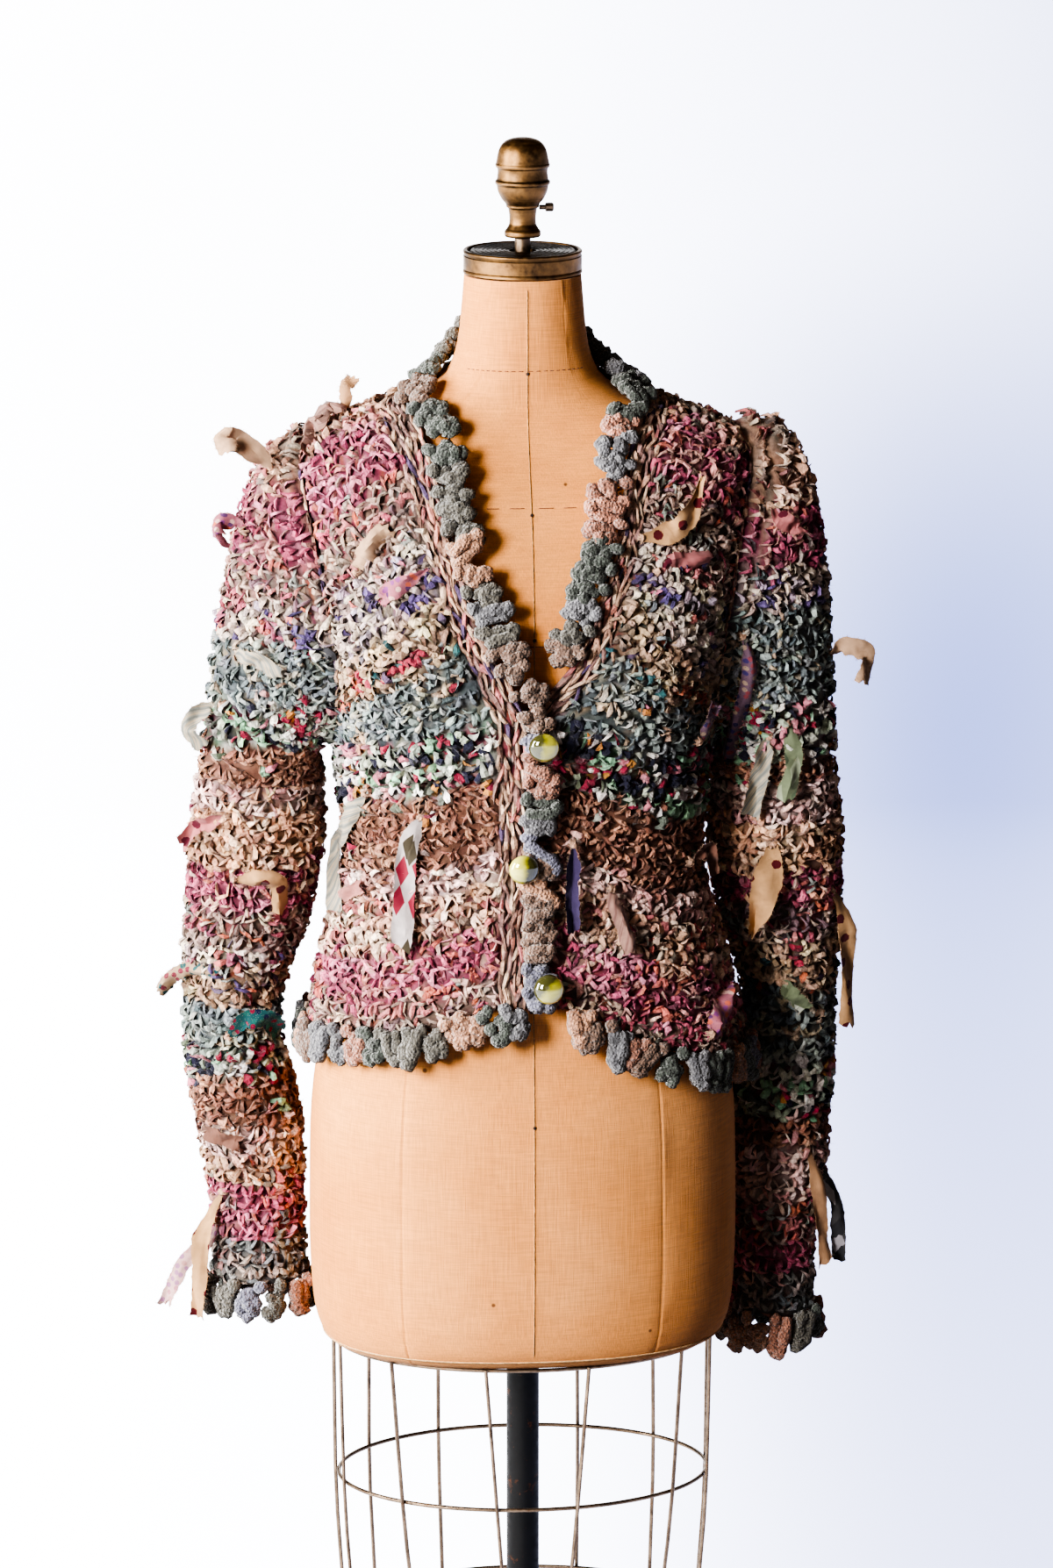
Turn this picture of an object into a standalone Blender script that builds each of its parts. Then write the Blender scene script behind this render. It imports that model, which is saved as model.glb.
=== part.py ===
"""Rag-crochet cardigan on a linen dress form with a wire cage and a pole stand.

Sizes are in millimetres and are turned into metres when a mesh is made. +Z is up, the front faces
-Y, and the origin is on the floor under the pole. "Right" and "left" are the wearer's, so the
right side lies at -X.
"""

import math

import bmesh
import bpy
import numpy as np

MM = 0.001
RIGHT, LEFT = -1, 1

# Cloth
WALL = 5.0
SEAM = 0.35
BAND_WIDTH = 19.0
SIDE_ROWS, ARMHOLE_ROWS = 8, 10
SIDE_SHARE = SIDE_ROWS / (SIDE_ROWS + ARMHOLE_ROWS)
UNDERARM = 1122.0
SHOULDER_TIP = 1352.0
NECK_POINT = 1386.0
BACK_NECK = 1416.0

# Dress form and stand
NECK_TOP = 1481.0
CAP_RADIUS = 46.0
CAP_HEIGHT = 18.5
ROD_RADIUS = 6.1
FORM_BOTTOM = 626.0
POLE_RADIUS = 13.0
BASE_RADIUS = 190.0
BASE_HEIGHT = 34.0
WIRE_RADIUS = 1.6

COLOURS = {
    "linen": ((0.62, 0.43, 0.25), 0.8, 0.0),
    "brass": ((0.34, 0.23, 0.11), 0.42, 1.0),
    "steel": ((0.22, 0.19, 0.17), 0.4, 0.9),
    "iron": ((0.012, 0.012, 0.013), 0.45, 0.6),
    "rag_crochet": ((0.46, 0.29, 0.25), 0.95, 0.0),
    "band": ((0.42, 0.29, 0.27), 0.95, 0.0),
    "chenille": ((0.25, 0.26, 0.26), 1.0, 0.0),
    "rag_strip": ((0.55, 0.38, 0.28), 0.9, 0.0),
    "button": ((0.62, 0.60, 0.16), 0.08, 0.0),
}

# The figure: height, half width, depth in front, depth behind
FIGURE = (
    (626, 150, 98, 104),
    (630, 157, 104, 111),
    (640, 163, 110, 118),
    (665, 168, 114, 124),
    (715, 170, 116, 127),
    (800, 169, 116, 124),
    (870, 162, 112, 110),
    (940, 146, 104, 95),
    (1025, 123, 92, 82),
    (1090, 131, 98, 88),
    (1160, 146, 108, 96),
    (1210, 157, 112, 101),
    (1260, 166, 104, 103),
    (1300, 169, 90, 100),
    (1330, 167, 74, 92),
    (1350, 156, 62, 82),
    (1362, 134, 55, 74),
    (1376, 104, 50, 66),
    (1390, 76, 47, 58),
    (1406, 58, 47, 51),
    (1430, 50, 47, 47),
    (1481, 45, 45, 45),
)
ROUNDNESS = 0.87
STEP_ANGLE, STEP_HEIGHT = 0.6, 1.5
BUST_HEIGHT, BUST_ANGLE, BUST_RISE = 1200.0, 36.0, 17.0
BUST_TALL, BUST_WIDE = 58.0, 24.0

# Room between figure and cloth: height, room
EASE = (
    (840, 6),
    (880, 5),
    (950, 9),
    (1025, 13),
    (1100, 8),
    (1170, 5),
    (1300, 6),
    (1345, 8.2),
    (1370, 4.2),
    (1390, 3.1),
    (1420, 2.4),
)
HEM_WAVES, HEM_WAVE_DEPTH, HEM_WAVE_TOP, HEM_WAVE_TALL = 9, 2.5, 960.0, 80.0

# Hem line: angle from the front in degrees, height of the cloth's lower edge
HEM = (
    (-180, 888),
    (-120, 886),
    (-90, 887),
    (-60, 896),
    (-40, 901),
    (-25, 908),
    (-15, 919),
    (-5, 925),
    (4, 924),
    (12, 918),
    (24, 898),
    (35, 885),
    (50, 874),
    (65, 869),
    (90, 866),
    (120, 868),
    (180, 888),
)

# Front edge and neckline: share of the edge, angle toward its own side from the front, height.
# The right front laps over the left one, so the left edge starts past the middle.
FRONT_EDGES = {
    RIGHT: (
        (0.22, 1.7, 1046),
        (0.41, 1.7, 1148),
        (0.455, 4.5, 1174),
        (0.52, 10.3, 1208),
        (0.63, 17.4, 1268),
        (0.75, 21.2, 1318),
        (0.85, 25.9, 1350),
        (0.93, 44.0, 1371),
        (1.0, 90.0, NECK_POINT),
    ),
    LEFT: (
        (0.22, -7.0, 1046),
        (0.40, -6.5, 1140),
        (0.455, 3.5, 1178),
        (0.52, 10.3, 1208),
        (0.63, 17.4, 1268),
        (0.75, 21.2, 1318),
        (0.85, 25.9, 1350),
        (0.93, 44.0, 1371),
        (1.0, 90.0, NECK_POINT),
    ),
}
LAP_LIFT, LAP_FULL, LAP_NONE = 5.9, -8.3, -15.5
LAP_TOP, LAP_FADE = 1180.0, 50.0

# Sleeves below the underarm: height, centre out from the middle, centre back, half width, half depth
SLEEVES = {
    RIGHT: (
        (1084, 206, 14, 46, 46),
        (1030, 209, 22, 49, 45),
        (970, 216, 32, 46, 44),
        (910, 227, 42, 36, 45),
        (870, 229, 44, 34, 45),
        (820, 220, 42, 39, 40),
        (765, 213, 40, 36, 35),
        (715, 210, 38, 33, 32),
        (668, 210, 36, 34, 31),
    ),
    LEFT: (
        (1084, 200, 16, 46, 46),
        (1020, 203, 26, 49, 45),
        (960, 209, 38, 45, 44),
        (900, 217, 50, 34, 46),
        (850, 218, 52, 33, 45),
        (800, 213, 50, 36, 40),
        (740, 210, 46, 35, 35),
        (680, 206, 44, 31, 31),
        (628, 204, 42, 31, 30),
    ),
}
ARMHOLE_FRONT, ARMHOLE_BACK, ARMHOLE_SAG = 25.0, 22.0, 0.18
CAP_RISE, CAP_REACH = {RIGHT: 20.0, LEFT: 48.0}, {RIGHT: 26.0, LEFT: 50.0}
# How the cap's curve leaves the armhole and meets the tube below it
CAP_LEAD, UNDERARM_RISE, CAP_STEP, CAP_DROP_LOW, CAP_DROP_HIGH = 30.0, 5.0, 12.0, 1.0, 7.0
SEAM_SHARE = 0.3

# Chenille frill: pitch of its lobes, and half sizes across the frill and through it
FRILL_PITCH = 23.0
FRILL_REACH, FRILL_THICK, FRILL_NECKED = 14.0, 8.5, 0.66
FRILL_SIDES, RINGS_A_LOBE = 6, 2
FRILL_TUCK, NECK_REACH = 2.6, 12.5
V_ROW, NECK_COLUMN, LAPPED_COLUMNS = 8, 4, 3
HEM_CLEAR = 0.4


# Curves through the tables


def column(rows, index, at):
    """Value of one column of a table at a position in the first column, on a monotone curve."""
    x = np.array([row[0] for row in rows], float)
    y = np.array([row[index] for row in rows], float)
    at = np.clip(np.asarray(at, float), x[0], x[-1])
    run, slope = np.diff(x), np.diff(y) / np.diff(x)
    tangent = np.zeros(len(x))
    same = slope[1:] * slope[:-1] > 0
    weight_a, weight_b = 2 * run[1:] + run[:-1], run[1:] + 2 * run[:-1]
    safe = np.where(same, slope[:-1] * slope[1:], 1.0)
    weighted = weight_a * slope[1:] + weight_b * slope[:-1]
    blended = (weight_a + weight_b) * safe / np.where(same, weighted, 1.0)
    tangent[1:-1] = np.where(same, blended, 0.0)
    tangent[0], tangent[-1] = slope[0], slope[-1]
    i = np.clip(np.searchsorted(x, at, side="right") - 1, 0, len(run) - 1)
    h, t = run[i], (at - x[i]) / run[i]
    return (
        y[i] * (1 + 2 * t) * (1 - t) ** 2
        + h * tangent[i] * t * (1 - t) ** 2
        + y[i + 1] * t * t * (3 - 2 * t)
        + h * tangent[i + 1] * t * t * (t - 1)
    )


def unit(vectors):
    return vectors / np.linalg.norm(vectors, axis=-1, keepdims=True)


# The figure and the cloth over it


def figure(angle, height):
    """Points on the dress form. The angle is in degrees from the front, positive to the left side."""
    turn = np.radians(angle)
    side, ahead = np.sin(turn), np.cos(turn)
    depth = np.where(ahead > 0, column(FIGURE, 2, height), column(FIGURE, 3, height))
    x = column(FIGURE, 1, height) * np.sign(side) * np.abs(side) ** ROUNDNESS
    y = -depth * np.sign(ahead) * np.abs(ahead) ** ROUNDNESS
    off_angle = (np.abs(angle) - BUST_ANGLE) / BUST_WIDE
    off_height = (height - BUST_HEIGHT) / BUST_TALL
    y = y - BUST_RISE * np.exp(-(off_angle**2) - off_height**2)
    return np.stack([x, y, height + 0 * x], axis=-1)


def figure_normal(angle, height):
    around = figure(angle + STEP_ANGLE, height) - figure(angle - STEP_ANGLE, height)
    upward = figure(angle, height + STEP_HEIGHT) - figure(angle, height - STEP_HEIGHT)
    return unit(np.cross(around, upward))


def smooth(value):
    value = np.clip(value, 0, 1)
    return value * value * (3 - 2 * value)


def lap(angle, height):
    """How far the right front stands out where it lies over the left front."""
    across = smooth((angle - LAP_NONE) / (LAP_FULL - LAP_NONE))
    return LAP_LIFT * across * smooth((LAP_TOP + LAP_FADE - height) / LAP_FADE)


def cloth(angle, height, lift):
    """Points of the cloth over the figure: lift 0 is its inner face and lift WALL its outer face."""
    angle, height, lift = np.broadcast_arrays(
        np.asarray(angle, float), np.asarray(height, float), np.asarray(lift, float)
    )
    flare = np.clip((HEM_WAVE_TOP - height) / HEM_WAVE_TALL, 0, 1)
    wave = HEM_WAVE_DEPTH * flare * (1 + np.sin(np.radians(angle * HEM_WAVES)))
    out = column(EASE, 1, height) + wave + lift
    return figure(angle, height) + figure_normal(angle, height) * out[..., None]


# Outlines of the pieces in angle and height


def hem_height(angle):
    return column(HEM, 1, (np.asarray(angle, float) + 180) % 360 - 180)


def armhole(turn, side):
    """The armhole's edge. Turn is in degrees: 0 at the shoulder tip, 90 in front, 180 underarm."""
    a = np.radians(turn)
    bulge = np.where(np.sin(a) > 0, ARMHOLE_FRONT, ARMHOLE_BACK) * np.sin(a)
    middle, half = (SHOULDER_TIP + UNDERARM) / 2, (SHOULDER_TIP - UNDERARM) / 2
    low = 1 + ARMHOLE_SAG * (1 - np.cos(a)) / 2
    return np.stack([side * (90 - bulge * low), middle + half * np.cos(a)], axis=-1)


def coons(bottom, top, start, end, s, t):
    """A patch inside four edges, which are functions of 0 to 1; s runs along bottom and top."""
    b, u, l, r = bottom(s), top(s), start(t), end(t)
    s, t = s[..., None], t[..., None]
    zero = 0 * s[..., 0]
    c00, c10, c01, c11 = bottom(zero), bottom(zero + 1), top(zero), top(zero + 1)
    return (
        (1 - t) * b + t * u + (1 - s) * l + s * r
        - (1 - s) * (1 - t) * c00 - s * (1 - t) * c10 - (1 - s) * t * c01 - s * t * c11
    )


def follow(points):
    """A function of 0 to 1 along a polyline in angle and height, by its real length on the cloth."""
    points = np.asarray(points, float)
    real = cloth(points[:, 0], points[:, 1], 0)
    along = np.concatenate([[0], np.cumsum(np.linalg.norm(np.diff(real, axis=0), axis=1))])
    share = along / along[-1]
    return lambda at: np.stack([np.interp(at, share, points[:, k]) for k in (0, 1)], axis=-1)


def armhole_turns(side, front, count):
    """Turns from the underarm to the shoulder tip, at even steps of the armhole's real length."""
    turns = np.linspace(180, 0, 90) if front else np.linspace(180, 360, 90)
    at = armhole(turns, side)
    real = cloth(at[:, 0], at[:, 1], 0)
    along = np.concatenate([[0], np.cumsum(np.linalg.norm(np.diff(real, axis=0), axis=1))])
    return np.interp(np.linspace(0, along[-1], count), along, turns)


def side_edge(side, front):
    """Side seam and armhole, from the hem to the shoulder tip, as a function of 0 to 1."""
    seam_angle = side * 90.0
    heights = np.linspace(hem_height(seam_angle), UNDERARM, 30)
    low = follow(np.stack([0 * heights + seam_angle, heights], axis=1))
    turns = armhole_turns(side, front, ARMHOLE_ROWS * 4 + 1)
    shares = np.linspace(SIDE_SHARE, 1, len(turns))

    def edge(at):
        at = np.asarray(at, float)
        below = low(np.clip(at / SIDE_SHARE, 0, 1))
        above = armhole(np.interp(at, shares, turns), side)
        return np.where((at < SIDE_SHARE)[..., None], below, above)

    return edge


def centre_edge(side):
    """Front edge and neckline, from the hem to the shoulder, as a function of 0 to 1."""
    first = FRONT_EDGES[side][0][1]
    rows = ((0.0, first, float(hem_height(side * first))),) + FRONT_EDGES[side]
    return lambda at: np.stack([side * column(rows, 1, at), column(rows, 2, at)], axis=-1)


def front_patch(side):
    """The whole front, band included: s 0 is the front edge, s 1 the side; t 0 the hem, t 1 the shoulder."""
    angles = np.linspace(FRONT_EDGES[side][0][1], 90.0, 40) * side
    hem = follow(np.stack([angles, hem_height(angles)], axis=1))
    heights = np.linspace(NECK_POINT, SHOULDER_TIP, 20)
    shoulder = follow(np.stack([0 * heights + side * 90.0, heights], axis=1))
    start, end = centre_edge(side), side_edge(side, True)
    return lambda s, t: coons(hem, shoulder, start, end, s, t)


def back_patch():
    """The back: s 0 is the right side and s 1 the left."""
    angles = np.linspace(-90.0, -270.0, 60)
    hem = follow(np.stack([angles, hem_height(angles)], axis=1))
    ridge = np.linspace(SHOULDER_TIP, NECK_POINT, 16)
    round_neck = np.linspace(-90, -270, 40)
    dip = BACK_NECK - (BACK_NECK - NECK_POINT) * np.abs(np.cos(np.radians(round_neck + 90))) ** 3
    top = np.concatenate(
        [
            np.stack([0 * ridge - 90, ridge], axis=1),
            np.stack([round_neck, dip], axis=1)[1:-1],
            np.stack([0 * ridge - 270, ridge[::-1]], axis=1),
        ]
    )
    right, left = side_edge(RIGHT, False), side_edge(LEFT, False)

    def left_behind(at):
        return left(at) - np.array([360.0, 0.0])

    return lambda s, t: coons(hem, follow(top), right, left_behind, s, t)


def patch_width(patch, t):
    """Real width of a patch across each row t, in millimetres."""
    s = np.linspace(0, 1, 25)
    grid_s, grid_t = np.meshgrid(s, t)
    at = patch(grid_s, grid_t)
    real = cloth(at[..., 0], at[..., 1], 0)
    return np.linalg.norm(np.diff(real, axis=1), axis=2).sum(axis=1)


def sleeve_surface(side, turn, t):
    """Mid surface of a sleeve. Turn is 0 on the outer side, 90 in front; t is 0 to 1 over the cap
    and 1 to 2 from the underarm to the cuff."""
    turn, t = np.broadcast_arrays(np.asarray(turn, float), np.asarray(t, float))
    rows = SLEEVES[side]
    top, bottom = rows[0][0], rows[-1][0]
    down = tuple((top - row[0], *row[1:]) for row in rows)

    def ring(drop):
        a = np.radians(turn)
        x = column(down, 1, drop) + column(down, 3, drop) * np.cos(a)
        y = column(down, 2, drop) - column(down, 4, drop) * np.sin(a)
        return np.stack([side * x, y, top - drop + 0 * x], axis=-1)

    edge = armhole(turn, side)
    start = cloth(edge[..., 0], edge[..., 1], WALL / 2)
    joined = ring(0 * turn)
    upper = (1 + np.cos(np.radians(turn))) / 2
    lead_out = side * (CAP_LEAD + CAP_REACH[side] * upper)
    lead_up = CAP_RISE[side] * upper + UNDERARM_RISE * (1 - upper)
    lead = np.stack([lead_out, 0 * upper, lead_up], axis=-1)
    below = ring(0 * turn + CAP_STEP) - joined
    drop_in = joined - below * (CAP_DROP_LOW + CAP_DROP_HIGH * upper)[..., None]
    u = np.clip(t, 0, 1)[..., None]
    cap = (
        (1 - u) ** 3 * start
        + 3 * u * (1 - u) ** 2 * (start + lead)
        + 3 * u * u * (1 - u) * drop_in
        + u**3 * joined
    )
    tube = ring(np.clip(t - 1, 0, 1) * (top - bottom))
    return np.where((t < 1)[..., None], cap, tube)


def sleeve_normal(side, turn, t):
    step_turn, step_t = 2.0, 0.03
    around = sleeve_surface(side, turn + step_turn, t) - sleeve_surface(side, turn - step_turn, t)
    lower, upper = np.minimum(t + step_t, 2), np.maximum(t - step_t, 0)
    along = sleeve_surface(side, turn, lower) - sleeve_surface(side, turn, upper)
    return unit(np.cross(around, along)) * side


def sleeve(side, turn, t, lift):
    """Points of a sleeve's wall; at the armhole the wall stands as the body's wall does."""
    at = sleeve_surface(side, turn, t)
    edge = armhole(turn, side)
    own_out = sleeve_normal(side, turn, t)
    body_out = figure_normal(edge[..., 0], edge[..., 1])
    share = np.clip(1 - np.asarray(t, float) / SEAM_SHARE, 0, 1)[..., None] + 0 * at
    return at + unit(own_out * (1 - share) + body_out * share) * (lift - WALL / 2)


# Blender objects


def material(name):
    """A Principled material from the table, made once."""
    found = bpy.data.materials.get(name)
    if found:
        return found
    colour, roughness, metallic = COLOURS[name]
    made = bpy.data.materials.new(name)
    made.use_nodes = True
    shader = made.node_tree.nodes["Principled BSDF"]
    shader.inputs["Base Color"].default_value = (*colour, 1.0)
    shader.inputs["Roughness"].default_value = roughness
    shader.inputs["Metallic"].default_value = metallic
    return made


def add_mesh(name, finish, points, faces):
    """A mesh object in the part's collection, from points in millimetres."""
    mesh = bpy.data.meshes.new(name)
    mesh.from_pydata((np.asarray(points, float).reshape(-1, 3) * MM).tolist(), [], faces)
    build = bmesh.new()
    build.from_mesh(mesh)
    bmesh.ops.recalc_face_normals(build, faces=build.faces)
    build.to_mesh(mesh)
    build.free()
    mesh.shade_smooth()
    mesh.set_sharp_from_angle(angle=math.radians(40))
    return place(bpy.data.objects.new(name, mesh), finish)


def place(obj, finish):
    obj.data.materials.append(material(finish))
    bpy.data.collections["cardigan_on_form"].objects.link(obj)
    return obj


def grid_faces(rows, columns, offset=0, wrap=False):
    """Quads between the points of a grid stored row by row."""
    last = columns if wrap else columns - 1
    return [
        (
            offset + r * columns + c,
            offset + r * columns + (c + 1) % columns,
            offset + (r + 1) * columns + (c + 1) % columns,
            offset + (r + 1) * columns + c,
        )
        for r in range(rows - 1)
        for c in range(last)
    ]


def wall(name, finish, inner, outer, wrap=False):
    """A closed wall between an inner and an outer grid of points. With wrap, each row is a loop."""
    rows, columns = inner.shape[:2]
    count = rows * columns
    faces = grid_faces(rows, columns, 0, wrap) + grid_faces(rows, columns, count, wrap)

    def rim(index):
        pairs = zip(index, index[1:])
        faces.extend((a, b, b + count, a + count) for a, b in pairs)

    first, last = list(range(columns)), list(range(count - columns, count))
    if wrap:
        rim(first + first[:1])
        rim(last + last[:1])
    else:
        rim(first)
        rim(last)
        rim([r * columns for r in range(rows)])
        rim([r * columns + columns - 1 for r in range(rows)])
    return add_mesh(name, finish, np.concatenate([inner.reshape(-1, 3), outer.reshape(-1, 3)]), faces)


def loft(name, finish, rings, closed=False):
    """A solid through rings of points. Open lofts get flat ends; a closed one joins up."""
    rings = np.asarray(rings, float)
    rows, columns = rings.shape[:2]
    faces = grid_faces(rows, columns, 0, True)
    if closed:
        last = (rows - 1) * columns
        following = [(c + 1) % columns for c in range(columns)]
        faces += [(last + c, last + d, d, c) for c, d in enumerate(following)]
    else:
        faces += [tuple(range(columns)), tuple(range((rows - 1) * columns, rows * columns))]
    return add_mesh(name, finish, rings, faces)


def turned(name, finish, profile, steps, at=(0.0, 0.0, 0.0)):
    """A turned solid about +Z: radius and height pairs from the top down, on the outer side."""
    mesh = bpy.data.meshes.new(name)
    points = [(radius * MM, 0.0, height * MM) for radius, height in profile]
    mesh.from_pydata(points, [(i, i + 1) for i in range(len(points) - 1)], [])
    obj = place(bpy.data.objects.new(name, mesh), finish)
    obj.location = [value * MM for value in at]
    screw = obj.modifiers.new("Screw", "SCREW")
    screw.steps = screw.render_steps = steps
    screw.use_merge_vertices = True
    screw.merge_threshold = 0.00001
    screw.use_smooth_shade = True
    return obj


def tube(name, finish, points, radius, cyclic=False):
    """A round wire along points, as a curve with a bevel and filled caps."""
    curve = bpy.data.curves.new(name, "CURVE")
    curve.dimensions = "3D"
    curve.bevel_depth = radius * MM
    curve.bevel_resolution = 1
    curve.use_fill_caps = not cyclic
    spline = curve.splines.new("POLY")
    spline.points.add(len(points) - 1)
    for target, point in zip(spline.points, points):
        target.co = (*(value * MM for value in point), 1.0)
    spline.use_cyclic_u = cyclic
    return place(bpy.data.objects.new(name, curve), finish)


# Dress form and stand


FORM_COLUMNS = 24
# Heights of the form's rings between the figure's own
FORM_BETWEEN = (760, 835, 905, 980, 1058, 1125, 1185, 1236, 1281, 1316, 1383, 1398, 1417)


def make_form():
    heights = sorted([row[0] for row in FIGURE] + list(FORM_BETWEEN))
    angles = np.linspace(-180, 180, FORM_COLUMNS + 1)[:-1]
    rings = [figure(angles, np.full(len(angles), float(height))) for height in heights]
    return loft("form_torso", "linen", rings)


CAP_SOCKET = 3.5


def make_neck_cap():
    top = NECK_TOP + SEAM + CAP_HEIGHT
    inner, groove = CAP_RADIUS - 4.0, 1.2
    profile = [
        (0, top - CAP_SOCKET),
        (ROD_RADIUS + 4.0, top - CAP_SOCKET),
        (ROD_RADIUS + 4.0, top - groove),
        (inner * 0.62, top - groove),
        (inner * 0.68, top - 2 * groove),
        (inner, top - 2 * groove),
        (inner + 1.5, top),
        (CAP_RADIUS - 0.8, top),
        (CAP_RADIUS, top - 1.5),
        (CAP_RADIUS, NECK_TOP + SEAM + 1.0),
        (CAP_RADIUS - 0.8, NECK_TOP + SEAM),
        (0, NECK_TOP + SEAM),
    ]
    return turned("neck_cap", "brass", profile, 24)


FINIAL_FOOT = 1509.0
FINIAL = (
    # radius, height above the finial's foot
    (0, 77.0),
    (8.5, 76.6),
    (14.5, 73.5),
    (18.3, 67.5),
    (20.0, 59.0),
    (20.6, 55.5),
    (19.4, 52.5),
    (19.8, 46.0),
    (20.8, 42.5),
    (19.6, 37.0),
    (16.2, 29.5),
    (12.4, 24.5),
    (11.0, 20.5),
    (10.2, 14.0),
    (10.6, 10.5),
    (14.0, 4.5),
    (13.4, 0.8),
    (0, 0.0),
)
# Thumb screw: its shank starts at the finial's neck and its head is at the outer end
SCREW = ((0, 11.0), (2.6, 11.0), (3.4, 10.0), (3.4, 5.0), (1.9, 4.4), (1.9, 0.0), (0, 0.0))
SCREW_OUT, SCREW_HEIGHT = 12.9, 23.0


def make_finial():
    rod_foot = NECK_TOP + SEAM + CAP_HEIGHT - CAP_SOCKET + SEAM
    rod_top = FINIAL_FOOT - SEAM
    rod = [(0, rod_top), (ROD_RADIUS, rod_top), (ROD_RADIUS, rod_foot), (0, rod_foot)]
    turned("neck_rod", "steel", rod, 12)
    turned("finial", "brass", [(radius, FINIAL_FOOT + height) for radius, height in FINIAL], 20)
    made = turned("finial_screw", "steel", SCREW, 10, (SCREW_OUT, 0.0, FINIAL_FOOT + SCREW_HEIGHT))
    made.rotation_euler = (0.0, math.radians(90), 0.0)


def make_stand():
    pole_top = FORM_BOTTOM - SEAM
    hub, rim = POLE_RADIUS + 13.0, 9.0
    foot = BASE_HEIGHT + SEAM
    turned("pole", "iron", [(0, pole_top), (POLE_RADIUS, pole_top), (POLE_RADIUS, foot), (0, foot)], 16)
    profile = [
        (0, BASE_HEIGHT),
        (hub, BASE_HEIGHT),
        (hub + 6.0, rim * 2.4),
        (BASE_RADIUS * 0.55, rim * 1.7),
        (BASE_RADIUS - 4.0, rim),
        (BASE_RADIUS, rim * 0.6),
        (BASE_RADIUS, 0),
        (0, 0),
    ]
    turned("base", "iron", profile, 28)


# Cage: name, height, half width, half depth of each ring
CAGE_RINGS = (
    ("cage_ring_top", FORM_BOTTOM - SEAM - WIRE_RADIUS, 149.0, 98.0),
    ("cage_ring_middle", 510.0, 148.5, 103.0),
    ("cage_ring_bottom", 388.0, 142.0, 99.0),
)
# Angle of each wire from the front at the top ring and at the bottom ring
CAGE_WIRES = (
    (-14.0, -7.5),
    (-46.0, -38.0),
    (-76.0, -71.0),
    (-97.0, -99.0),
    (-128.0, -127.0),
    (-156.0, -156.0),
    (17.0, 9.5),
    (53.0, 44.0),
    (77.0, 70.0),
    (99.0, 100.0),
    (133.0, 131.0),
    (160.0, 159.0),
)
WIRE_PAST_TOP, WIRE_PAST_BOTTOM = 1.4, 3.0


def wire_angle(wire, height):
    """Angle of a wire from the front at a height, in degrees."""
    upper, lower = wire
    top, bottom = CAGE_RINGS[0][1], CAGE_RINGS[-1][1]
    return lower + (upper - lower) * (height - bottom) / (top - bottom)


def make_cage():
    rings = tuple((row[1], row[2], row[3]) for row in reversed(CAGE_RINGS))

    def around(angle, height, clear):
        a = math.radians(angle)
        wide = float(column(rings, 1, height)) + clear
        deep = float(column(rings, 2, height)) + clear
        return (wide * math.sin(a), -deep * math.cos(a), height)

    for name, height, _, _ in CAGE_RINGS:
        at_wires = sorted(wire_angle(wire, height) for wire in CAGE_WIRES)
        following = at_wires[1:] + [at_wires[0] + 360]
        corners = sorted(at_wires + [(a + b) / 2 for a, b in zip(at_wires, following)])
        circle = [around(angle, height, 0.0) for angle in corners]
        tube(name, "steel", circle, WIRE_RADIUS, cyclic=True)
    top, middle, bottom = (row[1] for row in CAGE_RINGS)
    levels = (bottom - WIRE_PAST_BOTTOM, bottom, 430.0, 470.0, middle, 566.0, top, top + WIRE_PAST_TOP)
    off_ring = 2 * WIRE_RADIUS + SEAM
    for number, wire in enumerate(CAGE_WIRES, start=1):
        points = [around(wire_angle(wire, height), height, off_ring) for height in levels]
        tube(f"cage_wire_{number:02d}", "steel", points, WIRE_RADIUS)


# Cardigan

SHOULDER_LENGTH = 250.0
SHOULDER_GAP = SEAM / 2 / SHOULDER_LENGTH
FRONT_COLUMNS, BAND_COLUMNS, BACK_COLUMNS, BAND_MOST = 9, 3, 19, 0.4
SLEEVE_LEVELS = (
    0.027, 0.1, 0.25, 0.42, 0.6, 0.8, 1.0, 1.09, 1.19, 1.29, 1.39, 1.48, 1.57, 1.67, 1.78, 1.89, 2.0,
)


def body_wall(name, finish, grid, lapped=False):
    """A panel's wall. Returns its mid surface, for the frills along its edges."""
    angle, height = grid[..., 0], grid[..., 1]
    extra = lap(angle, height) if lapped else 0.0
    wall(name, finish, cloth(angle, height, extra), cloth(angle, height, extra + WALL))
    return cloth(angle, height, extra + WALL / 2), figure_normal(angle, height)


def panel_rows():
    return np.linspace(0, 1, SIDE_ROWS + ARMHOLE_ROWS + 1)


def make_front(side, name):
    """A front and its band. The band is the strip of the same patch along the front edge."""
    patch = front_patch(side)
    t = panel_rows()
    width = patch_width(patch, t)
    band = np.minimum(BAND_WIDTH / width, BAND_MOST)[:, None]
    gap = (SEAM / width)[:, None]
    side_gap = (SEAM / 2 / width)[:, None]
    rows = (t * (1 - SHOULDER_GAP))[:, None]
    lapped = side == RIGHT
    s = band + gap + np.linspace(0, 1, FRONT_COLUMNS)[None, :] * (1 - band - gap - side_gap)
    front = body_wall(f"front_{name}", "rag_crochet", patch(s, rows + 0 * s), lapped)
    s = np.linspace(0, 1, BAND_COLUMNS)[None, :] * band
    edge = body_wall(f"band_{name}", "band", patch(s, rows + 0 * s), lapped)
    return [np.concatenate([a, b], axis=1) for a, b in zip(edge, front)]


def make_back():
    patch = back_patch()
    t = panel_rows() * (1 - SHOULDER_GAP)
    width = patch_width(patch, t)
    side_gap = (SEAM / 2 / width)[:, None]
    s = side_gap + np.linspace(0, 1, BACK_COLUMNS)[None, :] * (1 - 2 * side_gap)
    return body_wall("back", "rag_crochet", patch(s, t[:, None] + 0 * s))


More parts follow.
